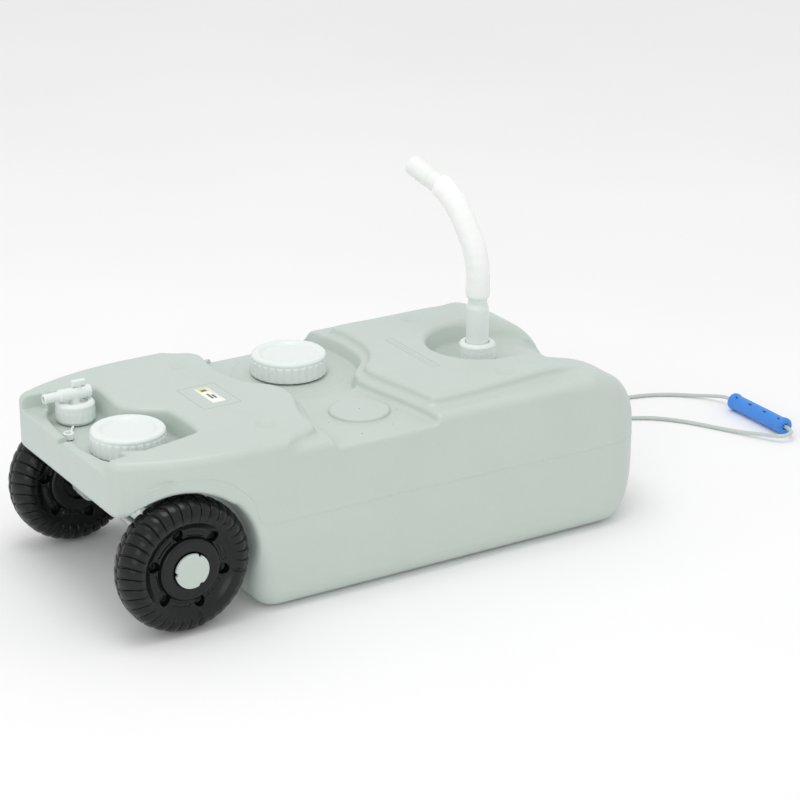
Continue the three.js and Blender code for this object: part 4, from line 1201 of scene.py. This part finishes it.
def make_tap():
    low, high = extent("tap_body")
    collar_x, collar_y, _ = middle("tap_collar")
    handle_low, handle_high = extent("tap_handle")
    handle_x, handle_y, _ = middle("tap_handle")
    base, axis_z = low[2], 247.0
    tip, back = low[0], high[0]

    def body(x, y, z):
        around = np.hypot(y - collar_y, z - axis_z)
        barrel = overlap(around - 8.5, np.maximum(x - back, -432 - x), 1.6)
        neck = overlap(around - 6.2 - 0.02 * (x + 455), np.maximum(tip - x, x + 430), 0.8)
        lip = overlap(around - 6.0, np.maximum(tip - x, x - tip - 5), 0.8)
        upright = np.hypot(x - collar_x, y - collar_y)
        hub = np.maximum(upright - 7.2, np.maximum(base + 1 - z, z - axis_z))
        flange = overlap(upright - 19.5, np.maximum(base - z, z - base - 3), 0.6)
        stem = np.hypot(x - handle_x, y - handle_y)
        gate = overlap(stem - 6.4, np.maximum(axis_z - z, z - axis_z - 8.2), 0.8)
        shape = union(union(barrel, neck, 2.5), lip, 1)
        shape = union(union(shape, hub, 2), flange, 2.5)
        shape = union(shape, gate, 1.2)
        shape = remove(shape, np.maximum(around - 4.2, x - handle_x - 6), 0.8)
        return remove(shape, stem - 3.9 + 100 * (z < axis_z + 2), 0.3)  # the handle's hole stops 2 mm up

    def handle(x, y, z):
        u, v = np.abs(x - handle_x), np.abs(y - handle_y)
        blade = np.maximum(handle_low[2] + 5.2 - z, z - handle_high[2])
        blade = overlap(overlap(u - 9.9, v - 3.6, 2.0), blade, 1.2)
        foot = overlap(np.hypot(u, v) - 3.5, np.maximum(handle_low[2] - z, z - handle_high[2] + 3), 0.4)
        return union(blade, foot, 1.2)

    build_tap_piece("tap_valve", body, "tap_body", "tap")
    build_tap_piece("tap_lever", handle, "tap_handle", "tap_handle")


make_tap()


def make_tether():
    low, high = extent("tap_tether_cap")
    collar_x, collar_y, _ = middle("tap_collar")
    cup_x, cup_y, cup_radius = low[0] + 8, low[1] + 8, 8.0
    dx, dy = cup_x - collar_x, cup_y - collar_y
    length = math.hypot(dx, dy)

    def tether(x, y, z):
        flat = np.maximum(low[2] + 0.3 - z, z - low[2] - 1.9)
        around = np.hypot(x - collar_x, y - collar_y)
        hold = overlap(np.maximum(around - 25, 21.5 - around), flat, 0.6)
        along = ((x - collar_x) * dx + (y - collar_y) * dy) / length
        across = np.abs((x - collar_x) * dy - (y - collar_y) * dx) / length
        strap = np.maximum(np.maximum(across - 1.7, 23 - along), along - length)
        strap = overlap(strap, flat, 0.5)
        u, v = np.abs(x - cup_x), np.abs(y - cup_y)
        eight = np.maximum(np.maximum(u, v), (u + v) / math.sqrt(2)) - cup_radius + 0.4
        cup = overlap(eight, np.maximum(low[2] - z, z - high[2]), 1.2)
        cup = remove(cup, np.maximum(np.hypot(u, v) - 4.4, low[2] + 4 - z), 0.6)
        return union(union(hold, strap, 1), cup, 0.8)

    build_tap_piece("tap_dust_cap", tether, "tap_tether_cap", "tap_tether")


make_tether()


# ---------------------------------------------------------------- label
def slab(x0, x1, y0, y1, z0, z1, corner):
    """A flat plate with rounded corners."""
    outline = soften([[x0, y0], [x1, y0], [x1, y1], [x0, y1]], corner, 5, closed=True)
    centre = outline.mean(0)
    rings = []
    for share, z in ((0.0, z0), (1.0, z0), (1.0, z1 - 0.05), (0.995, z1), (0.0, z1)):
        flat = centre + (outline - centre) * share
        rings.append(np.column_stack([flat, np.full(len(flat), z)]))
    return np.vstack(rings), grid_faces(len(rings), len(outline))


def make_label():
    low, high = extent("label")
    x0, x1, y0, y1 = low[0], high[0], low[1], high[1]
    top = high[2] - 0.12
    build("label_sheet", slab(x0, x1, y0, y1, TOP - 0.3, top, 1.5), label_vinyl, "tank", ["label"])
    patch = slab(x0 + 2, x1 - 4, y1 - 15, y1 - 2, top - 0.1, top + 0.04, 1)
    build("label_patch", patch, label_yellow, "tank")
    # plain bars in the place of any printing
    bars = [slab(x0 + 5, x0 + 13, y1 - 13, y1 - 7, top - 0.1, top + 0.08, 0.8)]
    for x, length in ((x0 + 6, 19), (x0 + 11, 14)):
        bars.append(slab(x, x + 3.2, y0 + 14, y0 + 14 + length, top - 0.1, top + 0.08, 0.6))
    build("label_bars", join_parts(*bars), label_ink, "tank")


make_label()


# ---------------------------------------------------------------- floor and light
def make_stage():
    reach, rings, spokes = 14.0, 40, 64
    points = [(0, 0, 0)]
    for k in range(1, rings + 1):
        radius = reach * (k / rings) ** 2
        for a in np.linspace(0, FULL, spokes, endpoint=False):
            points.append((radius * math.cos(a), radius * math.sin(a), 0))
    hub = [(1 + k, 1 + (k + 1) % spokes, 0) for k in range(spokes)]
    mesh = bpy.data.meshes.new("floor")
    mesh.from_pydata(points, [], (grid_faces(rings, spokes) + 1).tolist() + hub)
    material, tree, shader, place = new_material("floor_paper")
    cloud = spread(tree, noise(tree, place, 1.5, 2))
    feed(tree, shader, {
        "Base Color": blend_colours(tree, cloud, (0.93, 0.93, 0.93, 1), (0.95, 0.95, 0.95, 1)),
        "Roughness": 0.9,
        "Specular IOR Level": 0.1,
    })
    mesh.materials.append(material)
    add_object("floor", mesh)


def area_light(name, place, aim, size, power):
    data = bpy.data.lights.new(name, "AREA")
    data.shape = "DISK"
    data.size, data.energy = size, power
    point_at(add_object(name, data), place, Vector(aim) - Vector(place))


def make_light():
    world = bpy.data.worlds.new("studio")
    bpy.context.scene.world = world
    world.use_nodes = True
    feed(world.node_tree, world.node_tree.nodes["Background"], {"Color": (1, 1, 1, 1), "Strength": 0.84})

    area_light("overhead", (-0.4, -0.2, 3.2), (0, 0, 0.1), 1.8, 24)
    area_light("front_fill", (-3.0, -2.8, 1.4), (0, 0, 0.15), 2.2, 16)
    view = bpy.context.scene.view_settings
    view.view_transform = "Standard"
    view.look = "None"
    view.exposure = 0.0


make_stage()
make_light()
